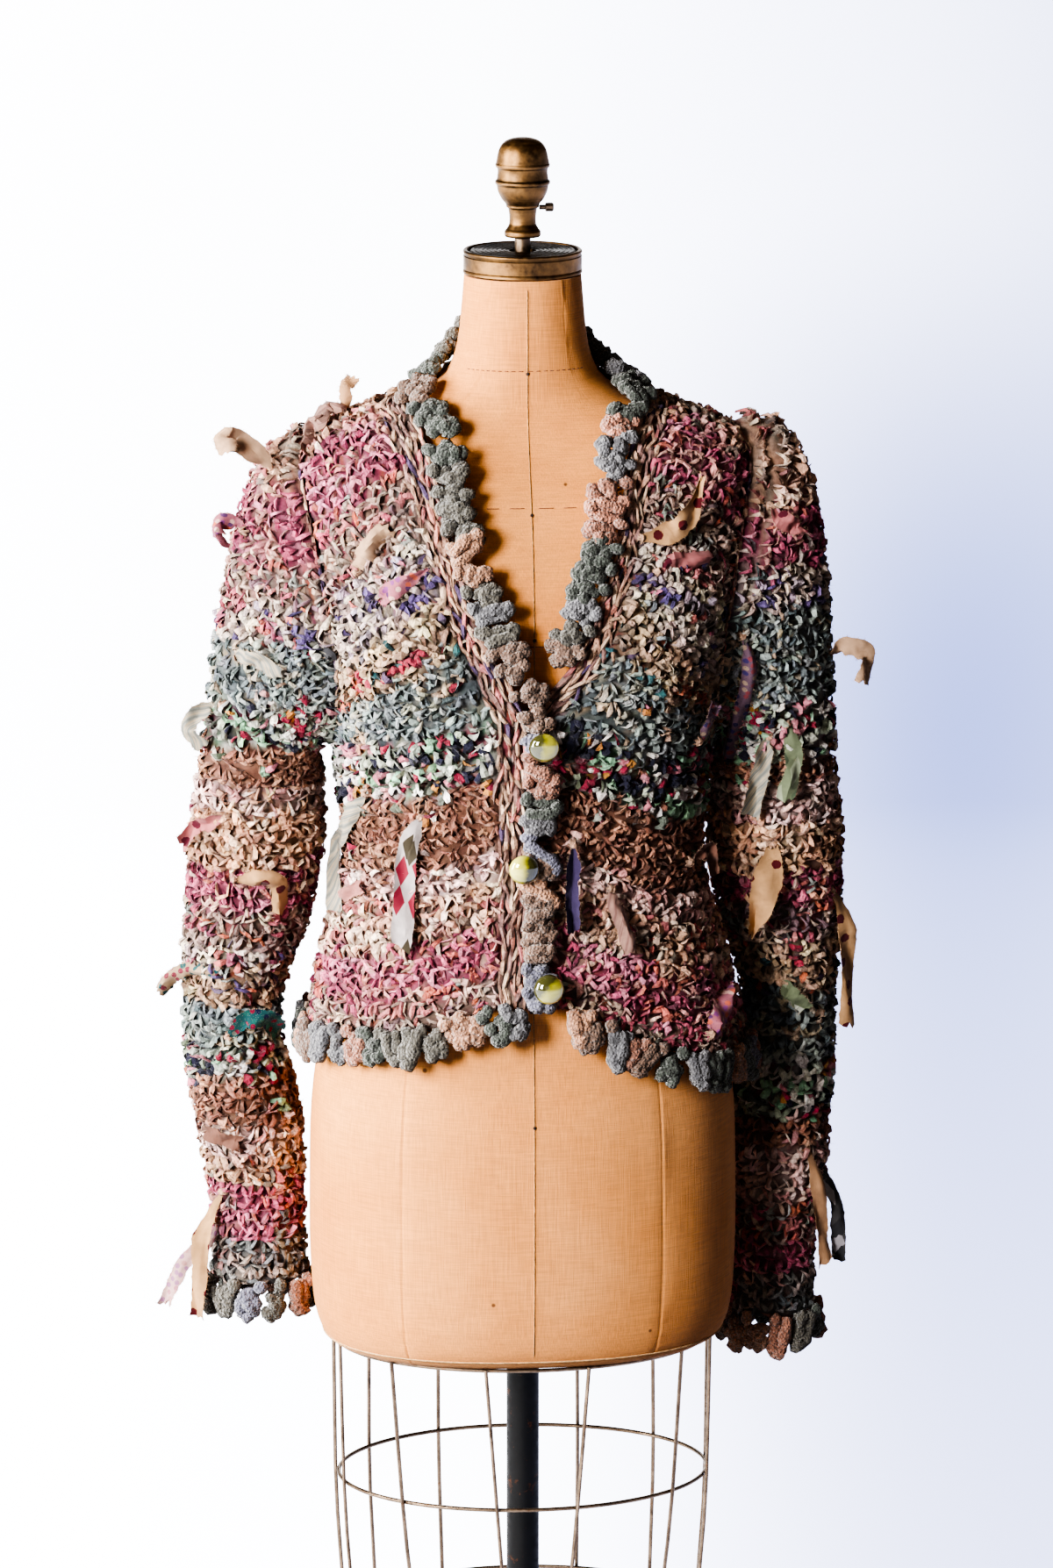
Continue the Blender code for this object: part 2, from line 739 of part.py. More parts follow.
def make_sleeve(side, name):
    front = armhole_turns(side, True, ARMHOLE_ROWS + 1)[::-1]
    back = armhole_turns(side, False, ARMHOLE_ROWS + 1)
    turns = np.concatenate([front, back[1:-1]])[None, :]
    t = np.array(SLEEVE_LEVELS)[:, None] + 0 * turns
    turns = turns + 0 * t
    inner, outer = sleeve(side, turns, t, 0.0), sleeve(side, turns, t, WALL)
    wall(f"sleeve_{name}", "rag_crochet", inner, outer, wrap=True)
    middle, out = sleeve(side, turns, t, WALL / 2), sleeve_normal(side, turns, t)
    edge, off = middle[-1], middle[-1] - middle[-2]
    ring = [np.concatenate([v, v[:1]]) for v in (edge, off, out[-1])]
    frill(f"frill_cuff_{name}", *ring, closed=True)


def frill(name, edge, off, out, reach=FRILL_REACH, closed=False):
    """A lobed frill along an edge. Off points away from the cloth and out is the cloth's normal."""
    length = np.concatenate([[0], np.cumsum(np.linalg.norm(np.diff(edge, axis=0), axis=1))])
    lobes = max(3, round(length[-1] / FRILL_PITCH))
    count = lobes * RINGS_A_LOBE + (0 if closed else 1)
    stations = np.linspace(0, length[-1], count + (1 if closed else 0))[:count]
    turns = np.radians(np.linspace(0, 360, FRILL_SIDES + 1)[:-1])
    rings = []

    def at(values, station):
        return np.array([np.interp(station, length, values[:, k]) for k in range(3)])

    for number, station in enumerate(stations):
        base, away, up = (at(values, station) for values in (edge, off, out))
        step = min(station + 1.0, length[-1])
        along = unit(at(edge, step) - at(edge, step - 1.0))
        up = unit(up - along * (up @ along))
        away = unit(away - along * (away @ along) - up * (away @ up))
        size = FRILL_NECKED if number % RINGS_A_LOBE == 0 else 1.0
        middle = base + away * (reach - FRILL_TUCK) + up * (FRILL_THICK - WALL / 2)
        wide, thick = away * reach * size, up * FRILL_THICK * size
        rings.append([middle + wide * math.cos(a) + thick * math.sin(a) for a in turns])
    loft(name, "chenille", rings, closed)


def make_frills(right, left, back):
    """Frills along the fronts and the back. Each panel is its mid surface and its normals."""
    names = ("right", "left")
    for (middle, out), name, first in zip((right, left), names, (0, LAPPED_COLUMNS)):
        part = slice(first, -1)
        frill(f"frill_hem_{name}", middle[0, part], (middle[0] - middle[1])[part], out[0, part])
    for (middle, out), name, row in zip((right, left), names, (V_ROW, V_ROW + 1)):
        off = middle[row:-1, 0] - middle[row:-1, 1]
        frill(f"frill_neck_{name}", middle[row:-1, 0], off, out[row:-1, 0], NECK_REACH)
    middle, out = right
    edge = middle[:V_ROW, 0].copy()
    edge[0] = edge[0] * (1 - HEM_CLEAR) + edge[1] * HEM_CLEAR
    frill("frill_front", edge, middle[:V_ROW, 0] - middle[:V_ROW, 1], out[:V_ROW, 0], NECK_REACH)
    middle, out = back
    frill("frill_hem_back", middle[0], middle[0] - middle[1], out[0])
    neck = slice(NECK_COLUMN, -NECK_COLUMN)
    frill("frill_neck_back", middle[-1, neck], (middle[-1] - middle[-2])[neck], out[-1, neck], NECK_REACH)


# Buttons: name, angle from the front, height, and how far each sinks between the frill's lobes.
# Each lies on the lapped frill's upper flat, whose corners are at 60 degrees.
BUTTONS = (
    ("button_top", 1.5, 1141.0, 0.0),
    ("button_middle", -2.6, 1041.0, 0.2),
    ("button_bottom", 2.2, 941.0, -0.7),
)
BUTTON_RADIUS, BUTTON_DOME, BUTTON_THICK = 11.6, 8.0, 3.0
BUTTON_LIFT = LAP_LIFT + FRILL_THICK * (1 + math.sin(math.radians(60))) - 2 * SEAM
BUTTON_DOME_TURNS, BUTTON_UNDER = (90, 70, 50, 30, 12, 0), ((-2.0, 0.4), (-4.0, 0.0))


def make_buttons():
    profile = [
        (BUTTON_RADIUS * math.cos(a), BUTTON_THICK + BUTTON_DOME * math.sin(a))
        for a in np.radians(BUTTON_DOME_TURNS)
    ]
    profile[0] = (0.0, profile[0][1])
    profile += [(BUTTON_RADIUS + inset, height) for inset, height in BUTTON_UNDER] + [(0.0, 0.0)]
    for name, angle, height, sink in BUTTONS:
        made = turned(name, "button", profile, 14)
        out = figure_normal(angle, height)
        made.rotation_euler = (math.acos(out[2]), 0.0, math.atan2(out[0], -out[1]))
        made.location = [value * MM for value in cloth(angle, height, BUTTON_LIFT - sink)]


# Rag strips: the piece each one is tied to and its width, then stations of across, height and lift.
# Lift is measured off the cloth: along its normal at the root, and further on more straight ahead.
STRIP_THICK, STRIP_RINGS = 1.2, 8
STRIPS = {
    "strip_shoulder_curl": (
        "sleeve_right", 18,
        ((-204, 1342, -0.6), (-214, 1354, 9), (-226, 1358, 16), (-224, 1346, 20)),
    ),
    "strip_shoulder_leaf": (
        "body", 13,
        ((-136, 1388, 0.9), (-150, 1377, 8), (-162, 1362, 11), (-169, 1349, 9)),
    ),
    "strip_chest_fold": (
        "body", 16,
        ((-136, 1266, 0.9), (-123, 1285, 10), (-108, 1300, 7)),
    ),
    "strip_upper_arm_loop": (
        "sleeve_right", 12,
        ((-237, 1148, 0.9), (-250, 1143, 7), (-258, 1130, 9), (-246, 1117, 12)),
    ),
    "strip_elbow_dots": (
        "sleeve_right", 14,
        ((-228, 1006, 0.9), (-210, 1012, 7), (-194, 1004, 9), (-192, 977, 6)),
    ),
    "strip_waist_ticking": (
        "body", 14,
        ((-126, 1084, 1.3), (-136, 1064, 7), (-141, 1030, 9), (-145, 984, 9)),
    ),
    "strip_waist_leaves": (
        "body", 17,
        ((-84, 1076, 0.9), (-95, 1048, 7), (-97, 1010, 8), (-100, 970, 10)),
    ),
    "strip_forearm_teal": (
        "sleeve_right", 15,
        ((-233, 874, 0.9), (-220, 892, 9), (-206, 891, 10), (-197, 871, 7)),
    ),
    "strip_wrist_dots": (
        "sleeve_right", 14,
        ((-238, 742, 1.2), (-251, 708, 12), (-254, 674, 10), (-255, 640, 12)),
    ),
    "strip_wrist_print": (
        "sleeve_right", 12,
        ((-252, 716, 1.4), (-270, 684, 2.2), (-286, 649, 1)),
    ),
    "strip_chest_dots": (
        "body", 17,
        ((82, 1292, 0.9), (104, 1293, 9), (119, 1306, 14), (127, 1331, 19)),
    ),
    "strip_side_print": (
        "sleeve_left", 11,
        ((166, 1209, 0.7), (171, 1176, 8), (166, 1136, 9), (162, 1098, 10)),
    ),
    "strip_upper_arm_roll": (
        "sleeve_left", 15,
        ((238, 1180, 0.7), (250, 1188, 8), (263, 1179, 10), (258, 1158, 13)),
    ),
    "strip_elbow_green": (
        "sleeve_left", 14,
        ((205, 1129, 0.9), (209, 1100, 7), (203, 1070, 9)),
    ),
    "strip_elbow_dots_large": (
        "sleeve_left", 23,
        ((196, 1031, 0.6), (193, 1006, 10), (189, 981, 15), (184, 955, 19)),
    ),
    "strip_forearm_dots": (
        "sleeve_left", 15,
        ((246, 986, 0.9), (256, 949, 7), (257, 910, 8), (258, 868, 9)),
    ),
    "strip_wrist_tan": (
        "sleeve_left", 11,
        ((229, 770, 0.9), (236, 738, 9), (238, 704, 11), (240, 671, 13)),
    ),
    "strip_wrist_leaves": (
        "sleeve_left", 12,
        ((246, 752, 0.9), (256, 716, 3), (257, 670, 1)),
    ),
}


def skin(piece):
    """Points and normals over the front half of a piece's outer face, close together."""
    if piece == "body":
        angle, height = np.meshgrid(np.arange(-95, 96, 2.5), np.arange(890, 1392, 6.0))
        return cloth(angle, height, WALL + lap(angle, height)), figure_normal(angle, height)
    side = RIGHT if piece == "sleeve_right" else LEFT
    turn, t = np.meshgrid(np.arange(30, 151, 4.0), np.arange(0.02, 2.0, 0.02))
    return sleeve(side, turn, t, WALL), sleeve_normal(side, turn, t)


def make_strips():
    skins = {piece: skin(piece) for piece in ("body", "sleeve_right", "sleeve_left")}
    for name, (piece, width, stations) in STRIPS.items():
        rows = [(number, *station) for number, station in enumerate(stations)]
        at = np.linspace(0, len(rows) - 1, STRIP_RINGS)
        across, height, lift = (column(rows, index, at) for index in (1, 2, 3))
        points, normals = skins[piece]
        gap = (points[..., 0, None] - across) ** 2 + (points[..., 2, None] - height) ** 2
        nearest = gap.reshape(-1, len(at)).argmin(axis=0)
        forward = np.clip(at, 0, 1)[:, None] * np.array([0.0, -1.0, 0.0])
        face = unit(normals.reshape(-1, 3)[nearest] + forward)
        seat = points.reshape(-1, 3)[nearest]
        asked = np.stack([across, seat[:, 1], height], axis=1)
        tied = np.clip(1 - at, 0, 1)[:, None]
        path = seat * tied + asked * (1 - tied) + face * lift[:, None]
        ahead = unit(np.gradient(path, axis=0))
        wide = unit(np.cross(ahead, face)) * width / 2
        thick = unit(np.cross(wide, ahead)) * STRIP_THICK / 2
        upper, lower = path + thick, path - thick
        corners = (upper + wide, upper - wide, lower - wide, lower + wide)
        loft(name, "rag_strip", np.stack(corners, axis=1))


def main():
    for obj in list(bpy.data.objects):
        bpy.data.objects.remove(obj)
    collection = bpy.data.collections.new("cardigan_on_form")
    bpy.context.scene.collection.children.link(collection)
    make_form()
    make_neck_cap()
    make_finial()
    make_stand()
    make_cage()
    make_sleeve(RIGHT, "right")
    make_sleeve(LEFT, "left")
    make_frills(make_front(RIGHT, "right"), make_front(LEFT, "left"), make_back())
    make_buttons()
    make_strips()


main()
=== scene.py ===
import math

import bmesh
import bpy
import numpy as np
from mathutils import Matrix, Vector


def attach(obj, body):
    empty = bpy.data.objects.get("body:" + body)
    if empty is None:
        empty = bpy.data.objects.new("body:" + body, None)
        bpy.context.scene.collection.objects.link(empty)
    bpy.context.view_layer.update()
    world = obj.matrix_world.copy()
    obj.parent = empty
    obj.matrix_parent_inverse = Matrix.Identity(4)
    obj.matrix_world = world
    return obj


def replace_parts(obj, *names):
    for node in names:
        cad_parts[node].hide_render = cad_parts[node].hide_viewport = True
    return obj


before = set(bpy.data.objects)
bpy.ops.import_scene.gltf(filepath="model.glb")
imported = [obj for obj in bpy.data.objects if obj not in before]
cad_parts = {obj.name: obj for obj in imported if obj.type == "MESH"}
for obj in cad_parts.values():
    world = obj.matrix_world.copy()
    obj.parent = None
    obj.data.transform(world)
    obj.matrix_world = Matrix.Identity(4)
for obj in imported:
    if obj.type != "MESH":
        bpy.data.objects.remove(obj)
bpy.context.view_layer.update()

# Looks of the rag-crochet cardigan on its dress form. Sizes are in millimetres and become metres
# when a mesh is made. "Right" and "left" are the wearer's, so the right side lies at -X.

MM = 0.001
RIGHT, LEFT = -1, 1
ROOT = "root"

# Camera at the photograph's angle

CAMERA_TURN, CAMERA_RISE, CAMERA_AWAY = math.radians(-4.6), math.radians(13.2), 4.9
LOOK_AT, SIDE_STEP = Vector((0.0, 0.0, 1.076)), Vector((0.003, 0.0, 0.0))
FILM_HEIGHT, LENS = 36.0, 143.03


def new_object(name, data):
    made = bpy.data.objects.new(name, data)
    bpy.context.scene.collection.objects.link(made)
    return made


def make_camera():
    data = bpy.data.cameras.new("camera")
    data.sensor_fit = "VERTICAL"
    data.sensor_height = FILM_HEIGHT
    data.lens = LENS
    camera = new_object("camera", data)
    level = math.cos(CAMERA_RISE)
    back = Vector((math.sin(CAMERA_TURN) * level, -math.cos(CAMERA_TURN) * level, math.sin(CAMERA_RISE)))
    turn = (-back).to_track_quat("-Z", "Y")
    camera.rotation_euler = turn.to_euler()
    camera.location = LOOK_AT + back * CAMERA_AWAY + turn @ SIDE_STEP
    bpy.context.scene.camera = camera


make_camera()

# Sizes shared with the solids

WALL = 5.0
BAND_WIDTH, BAND_MOST = 19.0, 0.4
SIDE_ROWS, ARMHOLE_ROWS = 8, 10
SIDE_SHARE = SIDE_ROWS / (SIDE_ROWS + ARMHOLE_ROWS)
UNDERARM, SHOULDER_TIP, NECK_POINT, BACK_NECK = 1122.0, 1352.0, 1386.0, 1416.0
NECK_TOP, FORM_BOTTOM = 1481.0, 626.0
SEAM = 0.35

# The dress form: height, half width, depth in front, depth behind
FIGURE = (
    (626, 150, 98, 104), (630, 157, 104, 111), (640, 163, 110, 118), (665, 168, 114, 124),
    (715, 170, 116, 127), (800, 169, 116, 124), (870, 162, 112, 110), (940, 146, 104, 95),
    (1025, 123, 92, 82), (1090, 131, 98, 88), (1160, 146, 108, 96), (1210, 157, 112, 101),
    (1260, 166, 104, 103), (1300, 169, 90, 100), (1330, 167, 74, 92), (1350, 156, 62, 82),
    (1362, 134, 55, 74), (1376, 104, 50, 66), (1390, 76, 47, 58), (1406, 58, 47, 51),
    (1430, 50, 47, 47), (1481, 45, 45, 45),
)
ROUNDNESS = 0.87
BUST_HEIGHT, BUST_ANGLE, BUST_RISE = 1200.0, 36.0, 17.0
BUST_TALL, BUST_WIDE = 58.0, 24.0
# Height, and how far the cloth stands off the form there
EASE = (
    (840, 6), (880, 5), (950, 9), (1025, 13), (1100, 8), (1170, 5), (1300, 6), (1345, 8.2),
    (1370, 4.2), (1390, 3.1), (1420, 2.4),
)
HEM_WAVES, HEM_WAVE_DEPTH, HEM_WAVE_TOP, HEM_WAVE_TALL = 9, 2.5, 960.0, 80.0
# Angle from the front, and the hem's height there
HEM = (
    (-180, 888), (-120, 886), (-90, 887), (-60, 896), (-40, 901), (-25, 908), (-15, 919),
    (-5, 925), (4, 924), (12, 918), (24, 898), (35, 885), (50, 874), (65, 869), (90, 866),
    (120, 868), (180, 888),
)
# Share of the front edge's length, its angle and its height
FRONT_EDGES = {
    RIGHT: (
        (0.22, 1.7, 1046), (0.41, 1.7, 1148), (0.455, 4.5, 1174), (0.52, 10.3, 1208),
        (0.63, 17.4, 1268), (0.75, 21.2, 1318), (0.85, 25.9, 1350), (0.93, 44.0, 1371),
        (1.0, 90.0, NECK_POINT),
    ),
    LEFT: (
        (0.22, -7.0, 1046), (0.40, -6.5, 1140), (0.455, 3.5, 1178), (0.52, 10.3, 1208),
        (0.63, 17.4, 1268), (0.75, 21.2, 1318), (0.85, 25.9, 1350), (0.93, 44.0, 1371),
        (1.0, 90.0, NECK_POINT),
    ),
}
LAP_LIFT, LAP_FULL, LAP_NONE = 5.9, -8.3, -15.5
LAP_TOP, LAP_FADE = 1180.0, 50.0
# Height, the sleeve's middle to the side and behind, its half width and half depth
SLEEVES = {
    RIGHT: (
        (1084, 206, 14, 46, 46), (1030, 209, 22, 49, 45), (970, 216, 32, 46, 44),
        (910, 227, 42, 36, 45), (870, 229, 44, 34, 45), (820, 220, 42, 39, 40),
        (765, 213, 40, 36, 35), (715, 210, 38, 33, 32), (668, 210, 36, 34, 31),
    ),
    LEFT: (
        (1084, 200, 16, 46, 46), (1020, 203, 26, 49, 45), (960, 209, 38, 45, 44),
        (900, 217, 50, 34, 46), (850, 218, 52, 33, 45), (800, 213, 50, 36, 40),
        (740, 210, 46, 35, 35), (680, 206, 44, 31, 31), (628, 204, 42, 31, 30),
    ),
}
ARMHOLE_FRONT, ARMHOLE_BACK, ARMHOLE_SAG = 25.0, 22.0, 0.18
CAP_RISE, CAP_REACH = {RIGHT: 20.0, LEFT: 48.0}, {RIGHT: 26.0, LEFT: 50.0}
CAP_LEAD, UNDERARM_RISE, CAP_STEP, CAP_DROP_LOW, CAP_DROP_HIGH = 30.0, 5.0, 12.0, 1.0, 7.0
SEAM_SHARE = 0.3
# Shares of a patch's height up to which it is sampled and its pieces are made
PANEL_TOP, PATCH_END = 0.9993, 0.999

# Curves through the tables, as in the part's source


def column(rows, index, at):
    """Value of one column of a table at a position in the first column, on a monotone curve."""
    x = np.array([row[0] for row in rows], float)
    y = np.array([row[index] for row in rows], float)
    at = np.clip(np.asarray(at, float), x[0], x[-1])
    run, slope = np.diff(x), np.diff(y) / np.diff(x)
    tangent = np.zeros(len(x))
    same = slope[1:] * slope[:-1] > 0
    weight_a, weight_b = 2 * run[1:] + run[:-1], run[1:] + 2 * run[:-1]
    safe = np.where(same, slope[:-1] * slope[1:], 1.0)
    weighted = weight_a * slope[1:] + weight_b * slope[:-1]
    blended = (weight_a + weight_b) * safe / np.where(same, weighted, 1.0)
    tangent[1:-1] = np.where(same, blended, 0.0)
    tangent[0], tangent[-1] = slope[0], slope[-1]
    i = np.clip(np.searchsorted(x, at, side="right") - 1, 0, len(run) - 1)
    h, t = run[i], (at - x[i]) / run[i]
    return (
        y[i] * (1 + 2 * t) * (1 - t) ** 2
        + h * tangent[i] * t * (1 - t) ** 2
        + y[i + 1] * t * t * (3 - 2 * t)
        + h * tangent[i + 1] * t * t * (t - 1)
    )


def unit(vectors):
    return vectors / np.maximum(np.linalg.norm(vectors, axis=-1, keepdims=True), 1e-9)


def flattened(vectors, out):
    """Unit directions of the vectors once their part along out is taken away."""
    return unit(vectors - out * (vectors * out).sum(axis=1, keepdims=True))


def facing(vectors, guide):
    """The vectors, turned round where they point away from the guide."""
    return vectors * np.sign((vectors * guide).sum(axis=1, keepdims=True))


def smooth(value):
    value = np.clip(value, 0, 1)
    return value * value * (3 - 2 * value)


def figure(angle, height):
    """Points on the dress form. The angle is in degrees from the front, positive to the left side."""
    turn = np.radians(angle)
    side, ahead = np.sin(turn), np.cos(turn)
    depth = np.where(ahead > 0, column(FIGURE, 2, height), column(FIGURE, 3, height))
    x = column(FIGURE, 1, height) * np.sign(side) * np.abs(side) ** ROUNDNESS
    y = -depth * np.sign(ahead) * np.abs(ahead) ** ROUNDNESS
    off_angle = (np.abs(angle) - BUST_ANGLE) / BUST_WIDE
    off_height = (height - BUST_HEIGHT) / BUST_TALL
    y = y - BUST_RISE * np.exp(-(off_angle**2) - off_height**2)
    return np.stack([x, y, height + 0 * x], axis=-1)


def figure_normal(angle, height):
    around = figure(angle + 0.6, height) - figure(angle - 0.6, height)
    upward = figure(angle, height + 1.5) - figure(angle, height - 1.5)
    return unit(np.cross(around, upward))


def lap(angle, height):
    across = smooth((angle - LAP_NONE) / (LAP_FULL - LAP_NONE))
    return LAP_LIFT * across * smooth((LAP_TOP + LAP_FADE - height) / LAP_FADE)


def cloth(angle, height, lift):
    """Points of the cloth over the figure, lift millimetres out from its inner face."""
    flare = np.clip((HEM_WAVE_TOP - height) / HEM_WAVE_TALL, 0, 1)
    wave = HEM_WAVE_DEPTH * flare * (1 + np.sin(np.radians(angle * HEM_WAVES)))
    out = column(EASE, 1, height) + wave + lift
    return figure(angle, height) + figure_normal(angle, height) * out[..., None]


def hem_height(angle):
    return column(HEM, 1, (np.asarray(angle, float) + 180) % 360 - 180)


def armhole(turn, side):
    """The armhole's edge. Turn is in degrees: 0 at the shoulder tip, 90 in front, 180 underarm."""
    a = np.radians(turn)
    bulge = np.where(np.sin(a) > 0, ARMHOLE_FRONT, ARMHOLE_BACK) * np.sin(a)
    middle, half = (SHOULDER_TIP + UNDERARM) / 2, (SHOULDER_TIP - UNDERARM) / 2
    low = 1 + ARMHOLE_SAG * (1 - np.cos(a)) / 2
    return np.stack([side * (90 - bulge * low), middle + half * np.cos(a)], axis=-1)


def coons(bottom, top, start, end, s, t):
    """A patch inside four edges, which are functions of 0 to 1; s runs along bottom and top."""
    b, u, l, r = bottom(s), top(s), start(t), end(t)
    zero = 0 * s
    c00, c10, c01, c11 = bottom(zero), bottom(zero + 1), top(zero), top(zero + 1)
    s, t = s[..., None], t[..., None]
    return (
        (1 - t) * b + t * u + (1 - s) * l + s * r
        - (1 - s) * (1 - t) * c00 - s * (1 - t) * c10 - (1 - s) * t * c01 - s * t * c11
    )


def lengths(points):
    """Length so far at each point of a polyline."""
    return np.concatenate([[0], np.cumsum(np.linalg.norm(np.diff(points, axis=0), axis=1))])


def follow(points):
    """A function of 0 to 1 along a polyline in angle and height, by its real length on the cloth."""
    points = np.asarray(points, float)
    along = lengths(cloth(points[:, 0], points[:, 1], 0.0))
    share = along / along[-1]
    return lambda at: np.stack([np.interp(at, share, points[:, k]) for k in (0, 1)], axis=-1)


def armhole_turns(side, front, count):
    """Turns from the underarm to the shoulder tip, at even steps of the armhole's real length."""
    turns = np.linspace(180, 0, 90) if front else np.linspace(180, 360, 90)
    at = armhole(turns, side)
    along = lengths(cloth(at[:, 0], at[:, 1], 0.0))
    return np.interp(np.linspace(0, along[-1], count), along, turns)


def side_edge(side, front):
    """Side seam and armhole, from the hem to the shoulder tip, as a function of 0 to 1."""
    seam_angle = side * 90.0
    heights = np.linspace(float(hem_height(seam_angle)), UNDERARM, 30)
    low = follow(np.stack([0 * heights + seam_angle, heights], axis=1))
    turns = armhole_turns(side, front, ARMHOLE_ROWS * 4 + 1)
    shares = np.linspace(SIDE_SHARE, 1, len(turns))

    def edge(at):
        at = np.asarray(at, float)
        below = low(np.clip(at / SIDE_SHARE, 0, 1))
        above = armhole(np.interp(at, shares, turns), side)
        return np.where((at < SIDE_SHARE)[..., None], below, above)

    return edge


def centre_edge(side):
    """Front edge and neckline, from the hem to the shoulder, as a function of 0 to 1."""
    first = FRONT_EDGES[side][0][1]
    rows = ((0.0, first, float(hem_height(side * first))),) + FRONT_EDGES[side]
    return lambda at: np.stack([side * column(rows, 1, at), column(rows, 2, at)], axis=-1)


def front_patch(side):
    """A whole front: s 0 is the front edge, s 1 the side; t 0 the hem, t 1 the shoulder."""
    angles = np.linspace(FRONT_EDGES[side][0][1], 90.0, 40) * side
    hem = follow(np.stack([angles, hem_height(angles)], axis=1))
    heights = np.linspace(NECK_POINT, SHOULDER_TIP, 20)
    shoulder = follow(np.stack([0 * heights + side * 90.0, heights], axis=1))
    start, end = centre_edge(side), side_edge(side, True)
    return lambda s, t: coons(hem, shoulder, start, end, s, t)


def back_patch():
    """The back: s 0 is the right side and s 1 the left."""
    angles = np.linspace(-90.0, -270.0, 60)
    hem = follow(np.stack([angles, hem_height(angles)], axis=1))
    ridge = np.linspace(SHOULDER_TIP, NECK_POINT, 16)
    round_neck = np.linspace(-90, -270, 40)
    dip = BACK_NECK - (BACK_NECK - NECK_POINT) * np.abs(np.cos(np.radians(round_neck + 90))) ** 3
    top = np.concatenate(
        [
            np.stack([0 * ridge - 90, ridge], axis=1),
            np.stack([round_neck, dip], axis=1)[1:-1],
            np.stack([0 * ridge - 270, ridge[::-1]], axis=1),
        ]
    )
    right, left = side_edge(RIGHT, False), side_edge(LEFT, False)

    def left_behind(at):
        return left(at) - np.array([360.0, 0.0])

    return lambda s, t: coons(hem, follow(top), right, left_behind, s, t)


def patch_width(patch, t):
    """Real width of a patch across each row t, in millimetres."""
    grid_s, grid_t = np.meshgrid(np.linspace(0, 1, 25), t)
    at = patch(grid_s, grid_t)
    real = cloth(at[..., 0], at[..., 1], 0.0)
    return np.linalg.norm(np.diff(real, axis=1), axis=2).sum(axis=1)


def sleeve_surface(side, turn, t):
    """Mid surface of a sleeve. Turn is 0 on the outer side, 90 in front; t is 0 to 1 over the cap
    and 1 to 2 from the underarm to the cuff."""
    rows = SLEEVES[side]
    top, bottom = rows[0][0], rows[-1][0]
    down = tuple((top - row[0], *row[1:]) for row in rows)

    def ring(drop):
        a = np.radians(turn)
        x = column(down, 1, drop) + column(down, 3, drop) * np.cos(a)
        y = column(down, 2, drop) - column(down, 4, drop) * np.sin(a)
        return np.stack([side * x, y, top - drop + 0 * x], axis=-1)

    edge = armhole(turn, side)
    start = cloth(edge[..., 0], edge[..., 1], WALL / 2)
    joined = ring(0 * turn)
    upper = (1 + np.cos(np.radians(turn))) / 2
    lead_out = side * (CAP_LEAD + CAP_REACH[side] * upper)
    lead_up = CAP_RISE[side] * upper + UNDERARM_RISE * (1 - upper)
    lead = np.stack([lead_out, 0 * upper, lead_up], axis=-1)
    below = ring(0 * turn + CAP_STEP) - joined
    drop_in = joined - below * (CAP_DROP_LOW + CAP_DROP_HIGH * upper)[..., None]
    u = np.clip(t, 0, 1)[..., None]
    cap = (
        (1 - u) ** 3 * start
        + 3 * u * (1 - u) ** 2 * (start + lead)
        + 3 * u * u * (1 - u) * drop_in
        + u**3 * joined
    )
    tube = ring(np.clip(t - 1, 0, 1) * (top - bottom))
    return np.where((t < 1)[..., None], cap, tube)


def sleeve_normal(side, turn, t):
    around = sleeve_surface(side, turn + 2.0, t) - sleeve_surface(side, turn - 2.0, t)
    lower, upper = np.minimum(t + 0.03, 2), np.maximum(t - 0.03, 0)
    along = sleeve_surface(side, turn, lower) - sleeve_surface(side, turn, upper)
    return unit(np.cross(around, along)) * side


# Panels: functions of across a, along b and lift that give points and outward directions


def as_floats(*values):
    """The values as float arrays of one shape."""
    return (v.astype(float) for v in np.broadcast_arrays(*values))


def front_panel(side, band=False):
    patch = front_patch(side)
    t_at = np.linspace(0, 1, 60)
    share = np.minimum(BAND_WIDTH / patch_width(patch, t_at), BAND_MOST)

    def panel(a, b, lift=WALL):
        a, b, lift = as_floats(a, np.clip(b, 0, PANEL_TOP), lift)
        edge = np.interp(b, t_at, share)
        at = patch(a * edge if band else edge + a * (1 - edge), b)
        angle, height = at[..., 0], at[..., 1]
        extra = lap(angle, height) if side == RIGHT else 0.0
        return cloth(angle, height, lift + extra), figure_normal(angle, height)

    return panel


def back_panel():
    patch = back_patch()

    def panel(a, b, lift=WALL):
        a, b, lift = as_floats(a, np.clip(b, 0, PANEL_TOP), lift)
        at = patch(a, b)
        return cloth(at[..., 0], at[..., 1], lift), figure_normal(at[..., 0], at[..., 1])

    return panel


def sleeve_panel(side):
    def panel(a, b, lift=WALL):
        a, b, lift = as_floats(a, b, lift)
        at = sleeve_surface(side, a, b)
        edge = armhole(a, side)
        body_out = figure_normal(edge[..., 0], edge[..., 1])
        share = np.clip(1 - b / SEAM_SHARE, 0, 1)[..., None]
        out = unit(sleeve_normal(side, a, b) * (1 - share) + body_out * share)
        return at + out * (lift - WALL / 2)[..., None], out

    return panel


# Mesh making


def linear(colour):
    """Linear colour from 0 to 255 display values."""
    value = np.asarray(colour, float) / 255.0
    return np.where(value <= 0.04045, value / 12.92, ((value + 0.055) / 1.055) ** 2.4)


def signed_volume(points, faces):
    total = 0.0
    for block in faces:
        for k in range(1, block.shape[1] - 1):
            a, b, c = points[block[:, 0]], points[block[:, k]], points[block[:, k + 1]]
            total += float((a * np.cross(b, c)).sum())
    return total


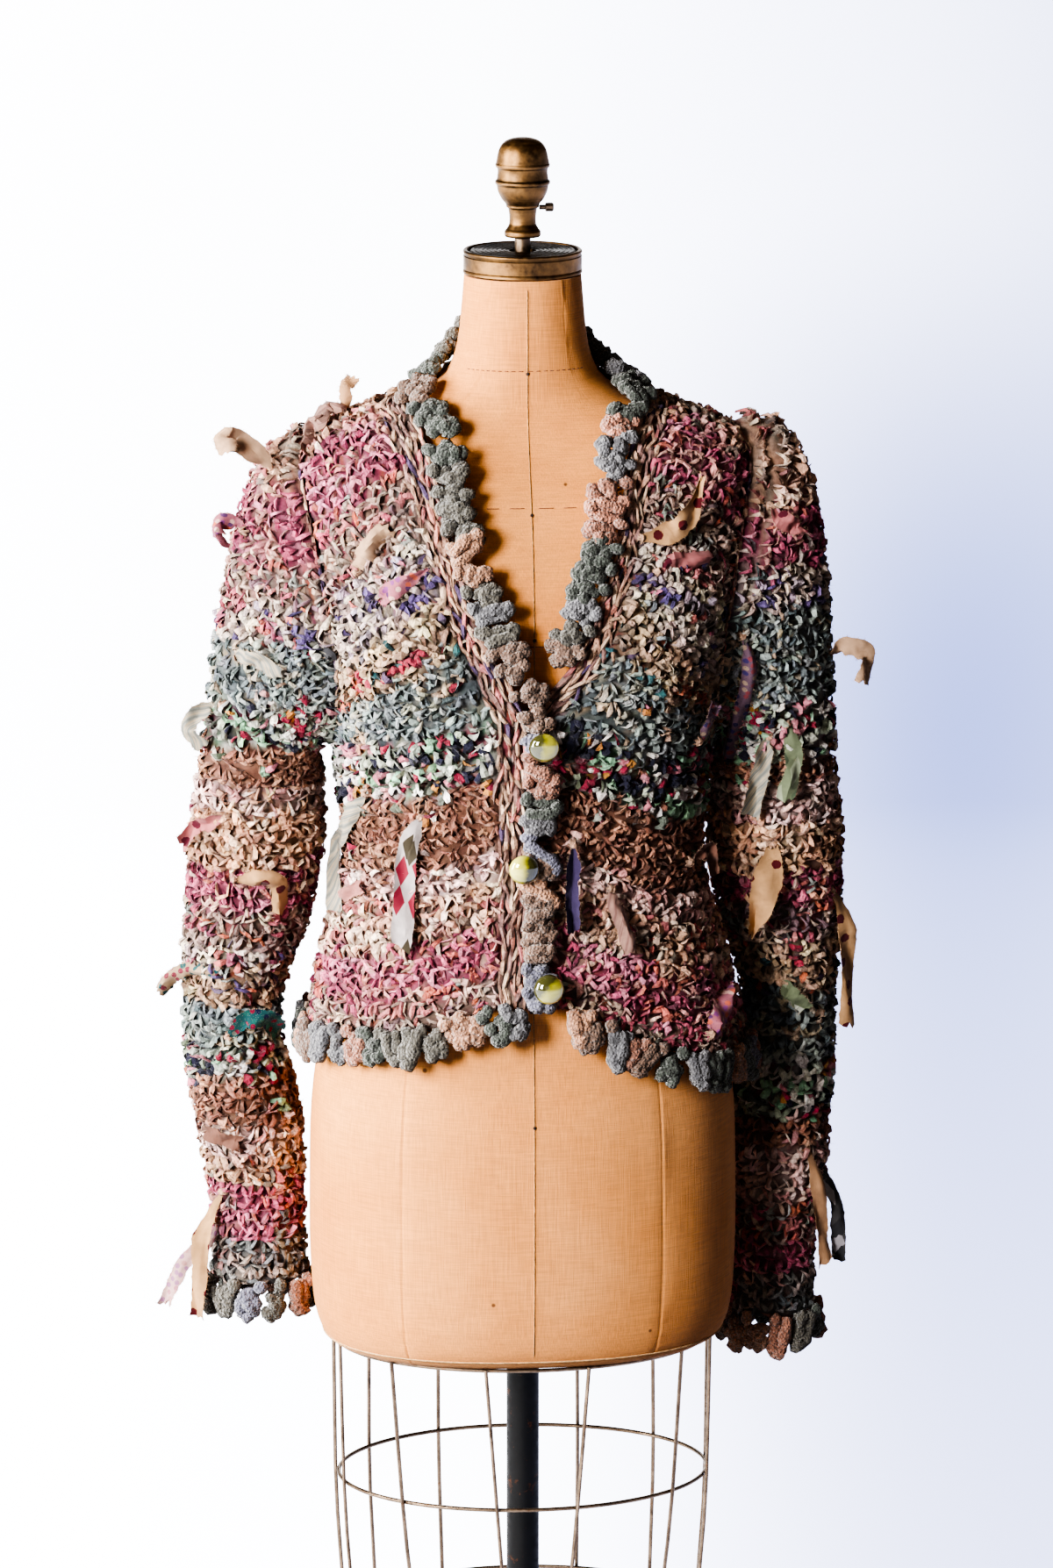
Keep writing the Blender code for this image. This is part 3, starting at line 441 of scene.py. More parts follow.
def add_piece(name, points, faces, finish, tint=None, uv=None, is_smooth=False):
    """A mesh that rides on the one body. Points are in millimetres; faces is a list of index arrays."""
    points = np.asarray(points, float).reshape(-1, 3)
    faces = [np.asarray(block, np.int64) for block in faces if len(block)]
    if signed_volume(points, faces) < 0:
        faces = [block[:, ::-1] for block in faces]
    loops = np.concatenate([block.ravel() for block in faces]).astype(np.int32)
    sizes = np.concatenate([np.full(len(block), block.shape[1]) for block in faces])
    starts = np.concatenate([[0], np.cumsum(sizes)[:-1]]).astype(np.int32)
    mesh = bpy.data.meshes.new(name)
    mesh.vertices.add(len(points))
    mesh.vertices.foreach_set("co", (points * MM).astype(np.float32).ravel())
    mesh.loops.add(len(loops))
    mesh.loops.foreach_set("vertex_index", loops)
    mesh.polygons.add(len(sizes))
    mesh.polygons.foreach_set("loop_start", starts)
    mesh.polygons.foreach_set("use_smooth", np.full(len(sizes), is_smooth))
    mesh.update(calc_edges=True)
    if tint is not None:
        colours = np.ones((len(points), 4), np.float32)
        colours[:, :3] = np.clip(tint, 0, 1)
        layer = mesh.color_attributes.new("tint", "FLOAT_COLOR", "POINT")
        layer.data.foreach_set("color", colours.ravel())
    if uv is not None:
        layer = mesh.uv_layers.new(name="UVMap")
        layer.data.foreach_set("uv", np.asarray(uv, np.float32)[loops].ravel())
    mesh.materials.append(finish)
    obj = new_object(name, mesh)
    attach(obj, ROOT)
    return obj


def grid_quads(rows, columns, wrap=False):
    """Quads between the points of a grid stored row by row."""
    c = np.arange(columns if wrap else columns - 1)
    r = np.arange(rows - 1)[:, None] * columns
    d = (c + 1) % columns
    return np.stack([r + c, r + d, r + columns + d, r + columns + c], axis=-1).reshape(-1, 4)


def end_fans(rings, sides):
    """Triangles that close a tube of rings to two tips, which are stored after the rings."""
    c = np.arange(sides)
    d = (c + 1) % sides
    last, tip = (rings - 1) * sides, rings * sides
    first_fan = np.stack([d, c, 0 * c + tip], axis=-1)
    last_fan = np.stack([last + c, last + d, 0 * c + tip + 1], axis=-1)
    return np.concatenate([first_fan, last_fan])


def shell_faces(rows, columns, wrap=False):
    """Faces of a closed wall: the inner grid comes first in the points, then the outer one."""
    count = rows * columns
    quads = grid_quads(rows, columns, wrap)
    faces = [quads[:, ::-1], quads + count]
    first, last = np.arange(columns), np.arange(count - columns, count)
    if wrap:
        first, last = np.append(first, first[0]), np.append(last, last[0])
    rims = [(first[1:], first[:-1]), (last[:-1], last[1:])]
    if not wrap:
        left = np.arange(rows) * columns
        right = left + columns - 1
        rims += [(left[:-1], left[1:]), (right[1:], right[:-1])]
    faces += [np.stack([p + count, q + count, q, p], axis=-1) for p, q in rims]
    return faces


def copies(block, count, corners):
    """The faces of one small solid, repeated for count solids with so many corners each."""
    return (np.arange(count)[:, None, None] * corners + block).reshape(-1, block.shape[1])


def spokes(side, other, angles):
    """Directions at the angles round each point of a line."""
    return side[:, None] * np.cos(angles)[:, None] + other[:, None] * np.sin(angles)[:, None]


class Heap:
    """Points, faces and tints of many small solids that make one piece."""

    def __init__(self):
        self.points, self.tints, self.faces, self.count = [], [], [], 0

    def add(self, points, faces, tints):
        points = np.asarray(points, float).reshape(-1, 3)
        self.faces += [np.asarray(block) + self.count for block in faces]
        self.points.append(points)
        self.tints.append(np.broadcast_to(tints, points.shape))
        self.count += len(points)

    def piece(self, name, finish, slot, is_smooth=False):
        points, tints = np.concatenate(self.points), np.concatenate(self.tints)
        return add_piece(name, points, self.faces, finish, tints, is_smooth=is_smooth)


RAG_RINGS = 4
# Creased section of a torn strip: across and out, in half widths and half thicknesses, and its painted light:
# a painted highlight on the top ridge, painted shade on the underside
RAG_SECTION = np.array([(-1.0, -0.15), (-0.12, 1.0), (1.0, 0.1), (0.1, -0.7)])
RAG_PAINTED_LIGHT = np.array([0.84, 1.16, 0.98, 0.6])


def ring_faces(rings, sides):
    """Faces of an open tube of rings with flat four-sided or fanned ends."""
    quads = grid_quads(rings, sides, True)
    ends = np.stack([np.arange(sides)[::-1], np.arange(sides) + (rings - 1) * sides])
    return quads, ends


def add_rags(heap, rng, seat, along, across, out, sizes, colour, dive=1.4, spin=0.55, bend=1.0):
    """Creased strips that come out of the surface, arch over it and go back in."""
    count = len(seat)
    length, width, height, thick = sizes
    u = np.linspace(0, 1, RAG_RINGS)
    arch = np.sin(np.pi * u) ** 0.7
    sway = rng.normal(0, bend, (count, 1)) * np.sin(np.pi * u)
    path = (
        seat[:, None]
        + along[:, None] * (length[:, None] * (u - 0.5))[..., None]
        + out[:, None] * (height[:, None] * arch - dive)[..., None]
        + across[:, None] * sway[..., None]
    )
    turn = rng.normal(0, spin, (count, 1)) + rng.normal(0, spin, (count, 1)) * (2 * u - 1)
    turn = turn[..., None]
    wide = across[:, None] * np.cos(turn) + out[:, None] * np.sin(turn)
    thin = out[:, None] * np.cos(turn) - across[:, None] * np.sin(turn)
    half = width[:, None] / 2 * (0.42 + 0.58 * arch) * rng.uniform(0.75, 1.25, (count, RAG_RINGS))
    deep = thick[:, None] / 2 * rng.uniform(0.7, 1.3, (count, RAG_RINGS))
    corners = (
        path[:, :, None]
        + wide[:, :, None] * (half[..., None] * RAG_SECTION[:, 0])[..., None]
        + thin[:, :, None] * (deep[..., None] * RAG_SECTION[:, 1])[..., None]
    )
    corners = corners + rng.normal(0, 0.25, corners.shape)
    quads, ends = ring_faces(RAG_RINGS, 4)
    faces = copies(np.concatenate([quads, ends]), count, RAG_RINGS * 4)
    # Painted shade: each strip darkens towards its ends, where it dives into the cloth, and each corner takes
    # the section's painted highlight or shade
    shade = (0.34 + 0.66 * arch)[None, :, None, None] * rng.uniform(0.86, 1.12, (count, RAG_RINGS, 4, 1))
    shade = shade * RAG_PAINTED_LIGHT[:, None]
    tints = np.broadcast_to(colour[:, None, None] * shade, corners.shape)
    heap.add(corners, [faces], tints.reshape(-1, 3))
    return path[:, RAG_RINGS // 2]


def add_fibres(heap, rng, root, ahead, length, colour, radius=0.17):
    """Fine frayed threads, each a slim three-sided spike."""
    count = len(root)
    ahead = unit(ahead)
    side = unit(np.cross(ahead, rng.normal(0, 1, (count, 3))))
    other = np.cross(ahead, side)
    angles = np.radians([0, 120, 240])
    foot = root[:, None] + radius * spokes(side, other, angles)
    tip = root + ahead * length[:, None]
    points = np.concatenate([foot, tip[:, None]], axis=1)
    block = np.array([(0, 1, 3), (1, 2, 3), (2, 0, 3), (2, 1, 0)])
    heap.add(points, [copies(block, count, 4)], np.repeat(colour, 4, axis=0))


def add_yarn(heap, rng, path, radius, colours, sides=11, rough=0.16, closed=False):
    """A nubbly round yarn along a path, with its radius and colour at each point."""
    path = np.asarray(path, float)
    count = len(path)
    if closed:
        ahead = unit(np.roll(path, -1, axis=0) - np.roll(path, 1, axis=0))
    else:
        ahead = unit(np.gradient(path, axis=0))
    side = np.zeros_like(path)
    current = np.cross(ahead[0], (0.3, 0.2, 0.9))
    for i in range(count):
        current = current - ahead[i] * (current @ ahead[i])
        current = current / max(np.linalg.norm(current), 1e-9)
        side[i] = current
    other = np.cross(ahead, side)
    angles = np.linspace(0, 2 * np.pi, sides + 1)[:-1]
    reach = np.asarray(radius)[:, None] * (1 + rough * rng.uniform(-1, 1, (count, sides)))
    rings = path[:, None] + reach[..., None] * spokes(side, other, angles)
    tints = colours[:, None] * rng.uniform(0.8, 1.15, (count, sides, 1))
    if closed:
        quads = grid_quads(count + 1, sides, True) % (count * sides)
        heap.add(rings, [quads], tints.reshape(-1, 3))
        return
    ends = np.stack([path[0] - ahead[0] * radius[0] * 0.5, path[-1] + ahead[-1] * radius[-1] * 0.5])
    points = np.concatenate([rings.reshape(-1, 3), ends])
    tints = np.concatenate([tints.reshape(-1, 3), colours[[0, -1]]])
    heap.add(points, [grid_quads(count, sides, True), end_fans(count, sides)], tints)


def add_turned(name, finish, profile, steps, replaced, wear=None):
    """A turned piece about the Z axis, from radius and height pairs, in place of a CAD node."""
    profile = np.asarray(profile, float)
    angles = np.linspace(0, 2 * np.pi, steps + 1)[:-1]
    inner = profile[1:-1]
    rings = np.stack(
        [inner[:, :1] * np.cos(angles), inner[:, :1] * np.sin(angles), inner[:, 1:] + 0 * angles], axis=-1
    )
    points = np.concatenate([rings.reshape(-1, 3), [(0, 0, profile[0, 1]), (0, 0, profile[-1, 1])]])
    tints = None
    if wear is not None:
        tints = np.concatenate([np.repeat(wear[1:-1], steps), wear[[0, -1]]])[:, None] * np.ones(3)
    faces = [grid_quads(len(inner), steps, True), end_fans(len(inner), steps)]
    made = add_piece(name, points, faces, finish, tints, is_smooth=True)
    made.data.set_sharp_from_angle(angle=math.radians(38))
    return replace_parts(made, replaced)


def sphere_mesh():
    """Points and triangles of a round ball of even triangles."""
    ball = bmesh.new()
    bmesh.ops.create_icosphere(ball, subdivisions=2, radius=1.0)
    points = np.array([v.co[:] for v in ball.verts])
    faces = np.array([[v.index for v in f.verts] for f in ball.faces])
    ball.free()
    return points, faces


BALL_POINTS, BALL_FACES = sphere_mesh()


def add_balls(heap, rng, centres, frames, radii, colours, rough=0.1):
    """Lumpy balls stretched along three directions."""
    count, corners = len(centres), len(BALL_POINTS)
    swell = 1 + rough * rng.normal(0, 1, (count, corners))
    local = BALL_POINTS * radii[:, None] * swell[..., None]
    points = centres[:, None] + np.einsum("nvk,nkj->nvj", local, frames)
    # Painted light and shade: each ball is lighter where it swells out and darker in its dents
    tints = colours[:, None] * (0.92 + 1.5 * (swell - 1) + rng.normal(0, 0.05, swell.shape))[..., None]
    heap.add(points, [copies(BALL_FACES, count, corners)], tints.reshape(-1, 3))


# Materials


def new_finish(name, **sockets):
    """A Principled material with constant sockets set. Returns it with its tree and shader."""
    made = bpy.data.materials.new(name)
    made.use_nodes = True
    shader = made.node_tree.nodes["Principled BSDF"]
    for key, value in sockets.items():
        shader.inputs[key.replace("_", " ")].default_value = value
    return made, made.node_tree, shader


def feed(tree, socket, value):
    """Sets an input to a value, or links it to another node's output."""
    if isinstance(value, bpy.types.NodeSocket):
        tree.links.new(value, socket)
    else:
        socket.default_value = value


def node(tree, kind, sockets=None, **settings):
    """A shader node; sockets maps input names or numbers to values or to other nodes' outputs."""
    made = tree.nodes.new("ShaderNode" + kind)
    for key, value in settings.items():
        setattr(made, key, value)
    for key, value in (sockets or {}).items():
        feed(tree, made.inputs[key], value)
    return made


def mix(tree, factor, a, b, blend="MIX"):
    made = node(tree, "Mix", {0: factor, 6: a, 7: b}, data_type="RGBA", blend_type=blend)
    return made.outputs[2]


def multiply(tree, a, b):
    return mix(tree, 1.0, a, b, "MULTIPLY")


def compute(tree, operation, *values):
    return node(tree, "Math", dict(enumerate(values)), operation=operation).outputs[0]


def mapped(tree, vector, scale=(1.0, 1.0, 1.0), turn=0.0, move=(0.0, 0.0, 0.0)):
    """Coordinates stretched by scale, turned about Z by radians and moved."""
    sockets = {"Vector": vector, "Scale": scale, "Rotation": (0, 0, turn), "Location": move}
    return node(tree, "Mapping", sockets).outputs[0]


def cells(tree, uv, scale, randomness=1.0, **settings):
    sockets = {"Vector": uv, "Scale": scale, "Randomness": randomness}
    return node(tree, "TexVoronoi", voronoi_dimensions="2D", sockets=sockets, **settings)


def own_place(tree):
    return node(tree, "TexCoord").outputs["Object"]


def own_tint(tree):
    return node(tree, "Attribute", attribute_name="tint").outputs["Color"]


def rgba(colour):
    return (*(float(v) for v in linear(colour)), 1.0)


def ramp(tree, factor, stops, interpolation="LINEAR"):
    """A colour ramp over stops of position and colour in 0 to 255 values."""
    made = node(tree, "ValToRGB", {0: factor})
    made.color_ramp.interpolation = interpolation
    elements = made.color_ramp.elements
    while len(elements) < len(stops):
        elements.new(0.5)
    for element, (position, colour) in zip(elements, stops):
        element.position = position
        element.color = rgba(colour)
    return made.outputs["Color"]


def grey(tree, factor, low, high, dark, light):
    """Maps a value from low..high to a grey factor from dark to light."""
    made = node(tree, "MapRange", {0: factor, 1: low, 2: high, 3: dark, 4: light})
    return made.outputs[0]


def noise(tree, coordinate, scale, detail=3.0, roughness=0.5):
    sockets = {"Vector": coordinate, "Scale": scale, "Detail": detail, "Roughness": roughness}
    return node(tree, "TexNoise", sockets).outputs[0]


def bump(tree, shader, height, strength, distance):
    made = node(tree, "Bump", {"Height": height, "Strength": strength, "Distance": distance * MM})
    tree.links.new(made.outputs[0], shader.inputs["Normal"])


# Share of the fine weave in the relief of creased and piled cloth
WEAVE_SHARE = 0.3


def tint_finish(name, mottle, scale, strength, distance, sheen=0.3, pile=False, creases=False):
    """Cloth whose colour is the piece's own tint, mottled and with a fine weave."""
    made, tree, shader = new_finish(name, Roughness=0.95, Sheen_Weight=sheen, Sheen_Roughness=0.6)
    shader.inputs["Specular IOR Level"].default_value = 0.25
    place = own_place(tree)
    patchy = grey(tree, noise(tree, place, scale, 4.0, 0.6), 0.3, 0.7, 1 - mottle, 1 + mottle)
    colour = multiply(tree, own_tint(tree), patchy)
    weave = noise(tree, place, 1500.0, 2.0)
    if creases:
        sockets = {"Vector": place, "Scale": 300.0, "Detail": 3.0, "Distortion": 1.6}
        folds = grey(tree, node(tree, "TexNoise", sockets).outputs[0], 0.38, 0.62, 0.0, 1.0)
        weave = compute(tree, "MULTIPLY_ADD", weave, WEAVE_SHARE, folds)
        # Painted shade and highlight: the colour is darker in the hollows of the folds and lighter on their
        # tops
        colour = multiply(tree, colour, grey(tree, folds, 0.0, 0.8, 0.86, 1.1))
    if pile:
        tufts = node(tree, "TexVoronoi", {"Vector": place, "Scale": 430.0}).outputs["Distance"]
        weave = compute(tree, "MULTIPLY_ADD", weave, WEAVE_SHARE, grey(tree, tufts, 0.0, 0.9, 1.0, 0.0))
        # Painted shade: the colour is lighter on each tuft and darker in the hollows between tufts
        colour = multiply(tree, colour, grey(tree, tufts, 0.15, 0.75, 1.12, 0.55))
    tree.links.new(colour, shader.inputs["Base Color"])
    bump(tree, shader, weave, strength, distance)
    return made


RAG = tint_finish("rag", 0.24, 330.0, 0.6, 0.8, 0.25, creases=True)
BASE_RAG = tint_finish("rag_ground", 0.35, 200.0, 0.8, 0.8, 0.1)
CHENILLE = tint_finish("chenille_pile", 0.24, 420.0, 1.0, 2.4, 0.5, pile=True)
FIBRE = tint_finish("frayed_thread", 0.1, 300.0, 0.2, 0.2, 0.2)


def linen_finish():
    made, tree, shader = new_finish("linen_cover", Roughness=0.82, Sheen_Weight=0.12, Sheen_Roughness=0.5)
    shader.inputs["Specular IOR Level"].default_value = 0.3
    place = own_place(tree)
    weft = noise(tree, mapped(tree, place, (55.0, 55.0, 1250.0)), 1.0, 2.0)
    warp = noise(tree, mapped(tree, place, (1250.0, 1250.0, 40.0)), 1.0, 2.0)
    weave = compute(tree, "ADD", weft, warp)
    cloudy = noise(tree, place, 7.0, 5.0, 0.6)
    colour = ramp(tree, cloudy, ((0.30, (206, 137, 79)), (0.50, (219, 152, 90)), (0.72, (228, 164, 104))))
    colour = multiply(tree, colour, grey(tree, weave, 0.75, 1.25, 0.86, 1.10))
    blots = grey(tree, noise(tree, place, 26.0, 3.0, 0.5), 0.69, 0.76, 0.0, 0.28)
    colour = mix(tree, blots, colour, rgba((140, 96, 58)))
    for spot, radius in STAINS:
        far = node(tree, "VectorMath", {0: place, 1: tuple(v * MM for v in spot)}, operation="DISTANCE")
        inside = grey(tree, far.outputs["Value"], radius * MM * 0.6, radius * MM, 0.85, 0.0)
        colour = mix(tree, inside, colour, rgba((84, 50, 30)))
    tree.links.new(colour, shader.inputs["Base Color"])
    bump(tree, shader, weave, 0.55, 0.5)
    return made


def metal_finish(
    name, dark, light, scale, roughness, metallic=1.0,
    by_tint=False, specks=0.0, speck=(90, 60, 35), shine=0.5,
):
    """Aged metal: two tones in soft patches, darker where the tint says it is worn less."""
    made, tree, shader = new_finish(name, Metallic=metallic, Specular_IOR_Level=shine)
    place = own_place(tree)
    patches = noise(tree, place, scale, 5.0, 0.65)
    fine = noise(tree, place, scale * 7, 3.0, 0.6)
    both = compute(tree, "MULTIPLY_ADD", fine, 0.35, patches)
    colour = ramp(tree, both, ((0.45, dark), (0.85, light)))
    if by_tint:
        colour = multiply(tree, colour, own_tint(tree))
    if specks:
        where = grey(tree, noise(tree, place, scale * 3, 4.0, 0.7), 0.60, 0.68, 0.0, specks)
        colour = mix(tree, where, colour, rgba(speck))
    tree.links.new(colour, shader.inputs["Base Color"])
    tree.links.new(grey(tree, fine, 0.3, 0.7, roughness - 0.08, roughness + 0.12), shader.inputs["Roughness"])
    bump(tree, shader, fine, 0.25, 0.3)
    return made


# Dark spots on the linen: place and radius
STAINS = (
    ((-84.0, -99.0, 872.0), 2.6),
    ((-150.0, -47.0, 738.0), 1.9),
    ((-32.0, -113.0, 684.0), 2.2),
    ((27.0, -75.0, 1329.0), 2.0),
    ((93.0, -100.0, 655.0), 2.0),
)
LINEN = linen_finish()
BRASS = metal_finish("aged_brass", (58, 46, 36), (136, 104, 68), 30.0, 0.46, by_tint=True)
STEEL = metal_finish(
    "dull_steel", (70, 58, 48), (128, 110, 92), 60.0, 0.42, 0.9, specks=0.6, speck=(96, 62, 40)
)
IRON = metal_finish(
    "black_iron", (10, 10, 11), (22, 21, 22), 24.0, 0.5, 0.0, specks=0.5, speck=(104, 62, 36), shine=0.2
)

# Dress form

SEAM_ANGLES = (-146.0, -90.0, -34.0, 34.0, 90.0, 146.0, 180.0)
# A seam sinks in along its line and swells on both sides. Its half widths are in degrees
SEAM_SINK, SEAM_HALF, SEAMS_END = 0.35, 0.3, 1330
LIP_RISE, LIP_OFF, LIP_HALF = 0.25, 0.9, 0.4
PIN_HEIGHTS, PIN_COLOUR = (1410.0, 1307.0, 1215.0, 828.0), (62, 46, 38)
PIN_RADII = np.array([0.9, 1.3, 1.4, 1.1, 0.5])
# Lines of stitches across the front: height, first and last angle
STITCHED_LINES = ((1412.0, -52, 52), (1312.0, -30, 30), (1210.0, -22, 22))
THREAD_COLOUR, CORD_COLOUR, EDGE_COLOUR = (120, 72, 58), (186, 142, 96), (206, 168, 120)
EDGE_HEIGHT = 634.0


def make_torso():
    extra = [seam + step for seam in SEAM_ANGLES for step in (-0.9, -0.35, 0.0, 0.35, 0.9)]
    angles = [*np.arange(-180, 180, 5.0), *extra]
    angles = np.array(sorted({round((a + 180) % 360 - 180, 3) for a in angles}))
    edge, sides = np.linspace(FORM_BOTTOM, 665, 12), np.arange(678, SEAMS_END, 18.0)
    heights = np.concatenate([edge, sides, np.arange(1334, 1480, 7.0), [NECK_TOP]])
    angle, height = np.meshgrid(angles, heights)
    points, out = figure(angle, height), figure_normal(angle, height)
    sink = np.zeros_like(angle)
    for seam in SEAM_ANGLES:
        off = np.abs((angle - seam + 180) % 360 - 180)
        lip = LIP_RISE * np.exp(-(((off - LIP_OFF) / LIP_HALF) ** 2))
        sink -= SEAM_SINK * np.exp(-((off / SEAM_HALF) ** 2)) - lip
    sink *= height < SEAMS_END
    rng = np.random.default_rng(3)
    points = points + out * (sink + rng.normal(0, 0.05, angle.shape))[..., None]
    points = np.concatenate([points.reshape(-1, 3), [(0, 0, heights[0]), (0, 0, heights[-1])]])
    faces = [grid_quads(*angle.shape, True), end_fans(*angle.shape)]
    made = add_piece("torso_cover", points, faces, LINEN, is_smooth=True)
    made.data.set_sharp_from_angle(angle=math.radians(40))
    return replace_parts(made, "form_torso")


def surface_cord(heap, rng, angle, heights, radius, colour, lift=0.2, sides=6):
    points = figure(angle, heights) + figure_normal(angle, heights) * lift
    add_yarn(heap, rng, points, np.full(len(points), radius), np.tile(colour, (len(points), 1)), sides, 0.05)


def make_torso_sewing():
    """Centre-front cord, stitched lines, pins and the cord round the lower edge."""
    rng = np.random.default_rng(4)
    heap = Heap()
    heights = np.arange(640, 1478, 6.0)
    surface_cord(heap, rng, 0 * heights, heights, 0.55, linear(CORD_COLOUR))
    for height, first, last in STITCHED_LINES:
        for angle in np.arange(first, last, 5.2):
            at = np.linspace(angle, angle + 2.9, 4)
            surface_cord(heap, rng, at, np.full(4, height), 0.32, linear(THREAD_COLOUR), 0.25, 5)
    for height in PIN_HEIGHTS:
        path = figure(0.0, height) + figure_normal(0.0, height) * np.linspace(0.2, 1.6, 5)[:, None]
        add_yarn(heap, rng, path, PIN_RADII, np.tile(linear(PIN_COLOUR), (5, 1)), 8, 0.0)
    angles, level = np.linspace(-180, 180, 121)[:-1], np.full(120, EDGE_HEIGHT)
    low = figure(angles, level) + figure_normal(angles, level) * 0.3
    add_yarn(heap, rng, low, np.full(120, 0.7), np.tile(linear(EDGE_COLOUR), (120, 1)), 6, 0.05, closed=True)
    return heap.piece("torso_sewing", RAG, "linen", True)


def fine_profile(rows, count):
    """Radius and height pairs from the top down, on a smooth curve through a table."""
    table = sorted((height, radius) for radius, height in rows)
    heights = np.linspace(table[0][0], table[-1][0], count)
    heights = np.sort(np.unique(np.concatenate([heights, [row[0] for row in table]])))
    radii = column(table, 1, heights)
    return np.stack([radii, heights], axis=1)[::-1]


CAP_RADIUS, CAP_HEIGHT, ROD_RADIUS, CAP_SOCKET = 46.0, 18.5, 6.1, 3.5
FINIAL_FOOT = 1509.0
# The finial's turning: radius, and height over its foot
FINIAL = (
    (0, 77.0), (4.4, 76.95), (8.5, 76.2), (14.5, 73.3), (18.3, 67.5), (20.0, 60.0), (20.5, 57.4),
    (21.0, 56.2), (20.7, 54.6), (19.5, 53.6), (19.2, 51.0), (19.6, 46.6), (19.9, 44.8), (21.2, 43.4),
    (21.2, 42.0), (20.0, 40.6), (19.4, 37.0), (16.2, 29.8), (12.7, 25.0), (12.6, 23.6), (11.2, 22.6),
    (10.6, 19.5), (10.1, 14.0), (10.4, 10.5), (12.4, 6.6), (14.0, 4.2), (14.0, 2.2), (13.2, 0.6), (0, 0.0),
)


def make_head_fittings():
    base, top = NECK_TOP + SEAM, NECK_TOP + SEAM + CAP_HEIGHT
    inner = CAP_RADIUS - 4.0
    face = [(0, top - CAP_SOCKET), (ROD_RADIUS + 4, top - CAP_SOCKET), (ROD_RADIUS + 4.6, top - 1.2)]
    for radius in np.arange(13.0, inner - 3, 3.6):
        face += [(radius, top - 1.2), (radius + 0.7, top - 0.6)]
        face += [(radius + 1.5, top - 0.6), (radius + 2.2, top - 1.2)]
    rim = [
        (inner - 0.6, top - 2.4), (inner, top - 2.4), (inner + 1.0, top - 0.4), (inner + 2.0, top),
        (CAP_RADIUS - 1.0, top - 0.1), (CAP_RADIUS - 0.2, top - 0.8), (CAP_RADIUS, top - 1.8),
        (CAP_RADIUS - 0.6, top - 3.0), (CAP_RADIUS - 0.7, top - 4.2), (CAP_RADIUS - 0.2, top - 4.8),
        (CAP_RADIUS - 0.2, base + 4.0), (CAP_RADIUS - 0.7, base + 3.4), (CAP_RADIUS, base + 2.4),
        (CAP_RADIUS, base + 0.9), (CAP_RADIUS - 0.8, base), (0, base),
    ]
    profile = np.array(face + rim)
    wear = np.where(profile[:, 0] < inner + 0.5, 0.30, 1.0)
    wear[np.abs(profile[:, 1] - (top - 3.6)) < 0.8] = 0.55
    add_turned("cap", BRASS, profile, 96, "neck_cap", wear)
    rod_foot, rod_top = top - CAP_SOCKET + SEAM, FINIAL_FOOT - SEAM
    rod = [(0, rod_top), (ROD_RADIUS - 0.5, rod_top), (ROD_RADIUS, rod_top - 0.5)]
    rod += [(ROD_RADIUS, rod_foot), (0, rod_foot)]
    add_turned("rod", STEEL, rod, 32, "neck_rod")
    profile = fine_profile(FINIAL, 84)
    profile[:, 1] += FINIAL_FOOT
    bend = np.gradient(np.gradient(profile[:, 0]))
    wear = np.clip(1.0 - 2.2 * bend, 0.35, 1.25)
    add_turned("finial_turning", BRASS, profile, 56, "finial", wear)


def assign(name, finish):
    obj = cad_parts[name]
    obj.data.materials.clear()
    obj.data.materials.append(finish)


POLE_RADIUS, BASE_RADIUS, BASE_HEIGHT = 13.0, 190.0, 34.0


def make_stand():
    pole_top, foot = FORM_BOTTOM - SEAM, BASE_HEIGHT + SEAM
    profile = [(0, pole_top), (POLE_RADIUS - 0.8, pole_top), (POLE_RADIUS, pole_top - 0.8)]
    profile += [(POLE_RADIUS, z) for z in np.arange(pole_top - 20, foot + 10, -20.0)]
    profile += [(POLE_RADIUS, foot), (0, foot)]
    add_turned("pole_tube", IRON, profile, 48, "pole")
    hub, rim = POLE_RADIUS + 13.0, 9.0
    profile = [
        (0, BASE_HEIGHT), (hub - 1.2, BASE_HEIGHT), (hub, BASE_HEIGHT - 1.2), (hub + 2.6, rim * 2.9),
        (hub + 6.0, rim * 2.4), (BASE_RADIUS * 0.32, rim * 2.1), (BASE_RADIUS * 0.55, rim * 1.7),
        (BASE_RADIUS * 0.8, rim * 1.3), (BASE_RADIUS - 4.0, rim), (BASE_RADIUS - 1.2, rim * 0.85),
        (BASE_RADIUS, rim * 0.6), (BASE_RADIUS, 0.5), (BASE_RADIUS - 0.6, 0), (0, 0),
    ]
    add_turned("base_casting", IRON, profile, 128, "base")


# Name, height, half width and half depth
CAGE_RINGS = (
    ("cage_ring_top", FORM_BOTTOM - SEAM - 1.6, 149.0, 98.0),
    ("cage_ring_middle", 510.0, 148.5, 103.0),
    ("cage_ring_bottom", 388.0, 142.0, 99.0),
)


def make_cage():
    rng = np.random.default_rng(5)
    for name, height, wide, deep in CAGE_RINGS:
        a = np.linspace(0, 2 * np.pi, 145)[:-1]
        path = np.stack([wide * np.sin(a), -deep * np.cos(a), 0 * a + height], axis=1)
        heap = Heap()
        add_yarn(heap, rng, path, np.full(144, 1.6), np.ones((144, 3)), 8, 0.0, closed=True)
        made = heap.piece(name.replace("cage_", "cage_hoop_"), STEEL, "steel", True)
        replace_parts(made, name)
    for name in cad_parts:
        if name.startswith("cage_wire"):
            assign(name, STEEL)
    assign("finial_screw", STEEL)


torso = make_torso()
make_torso_sewing()
make_head_fittings()
make_stand()
make_cage()

# Rag crochet: the colours of each stripe with how often each comes, and the stripe's strip sizes:
# length, width, height and how much it frays

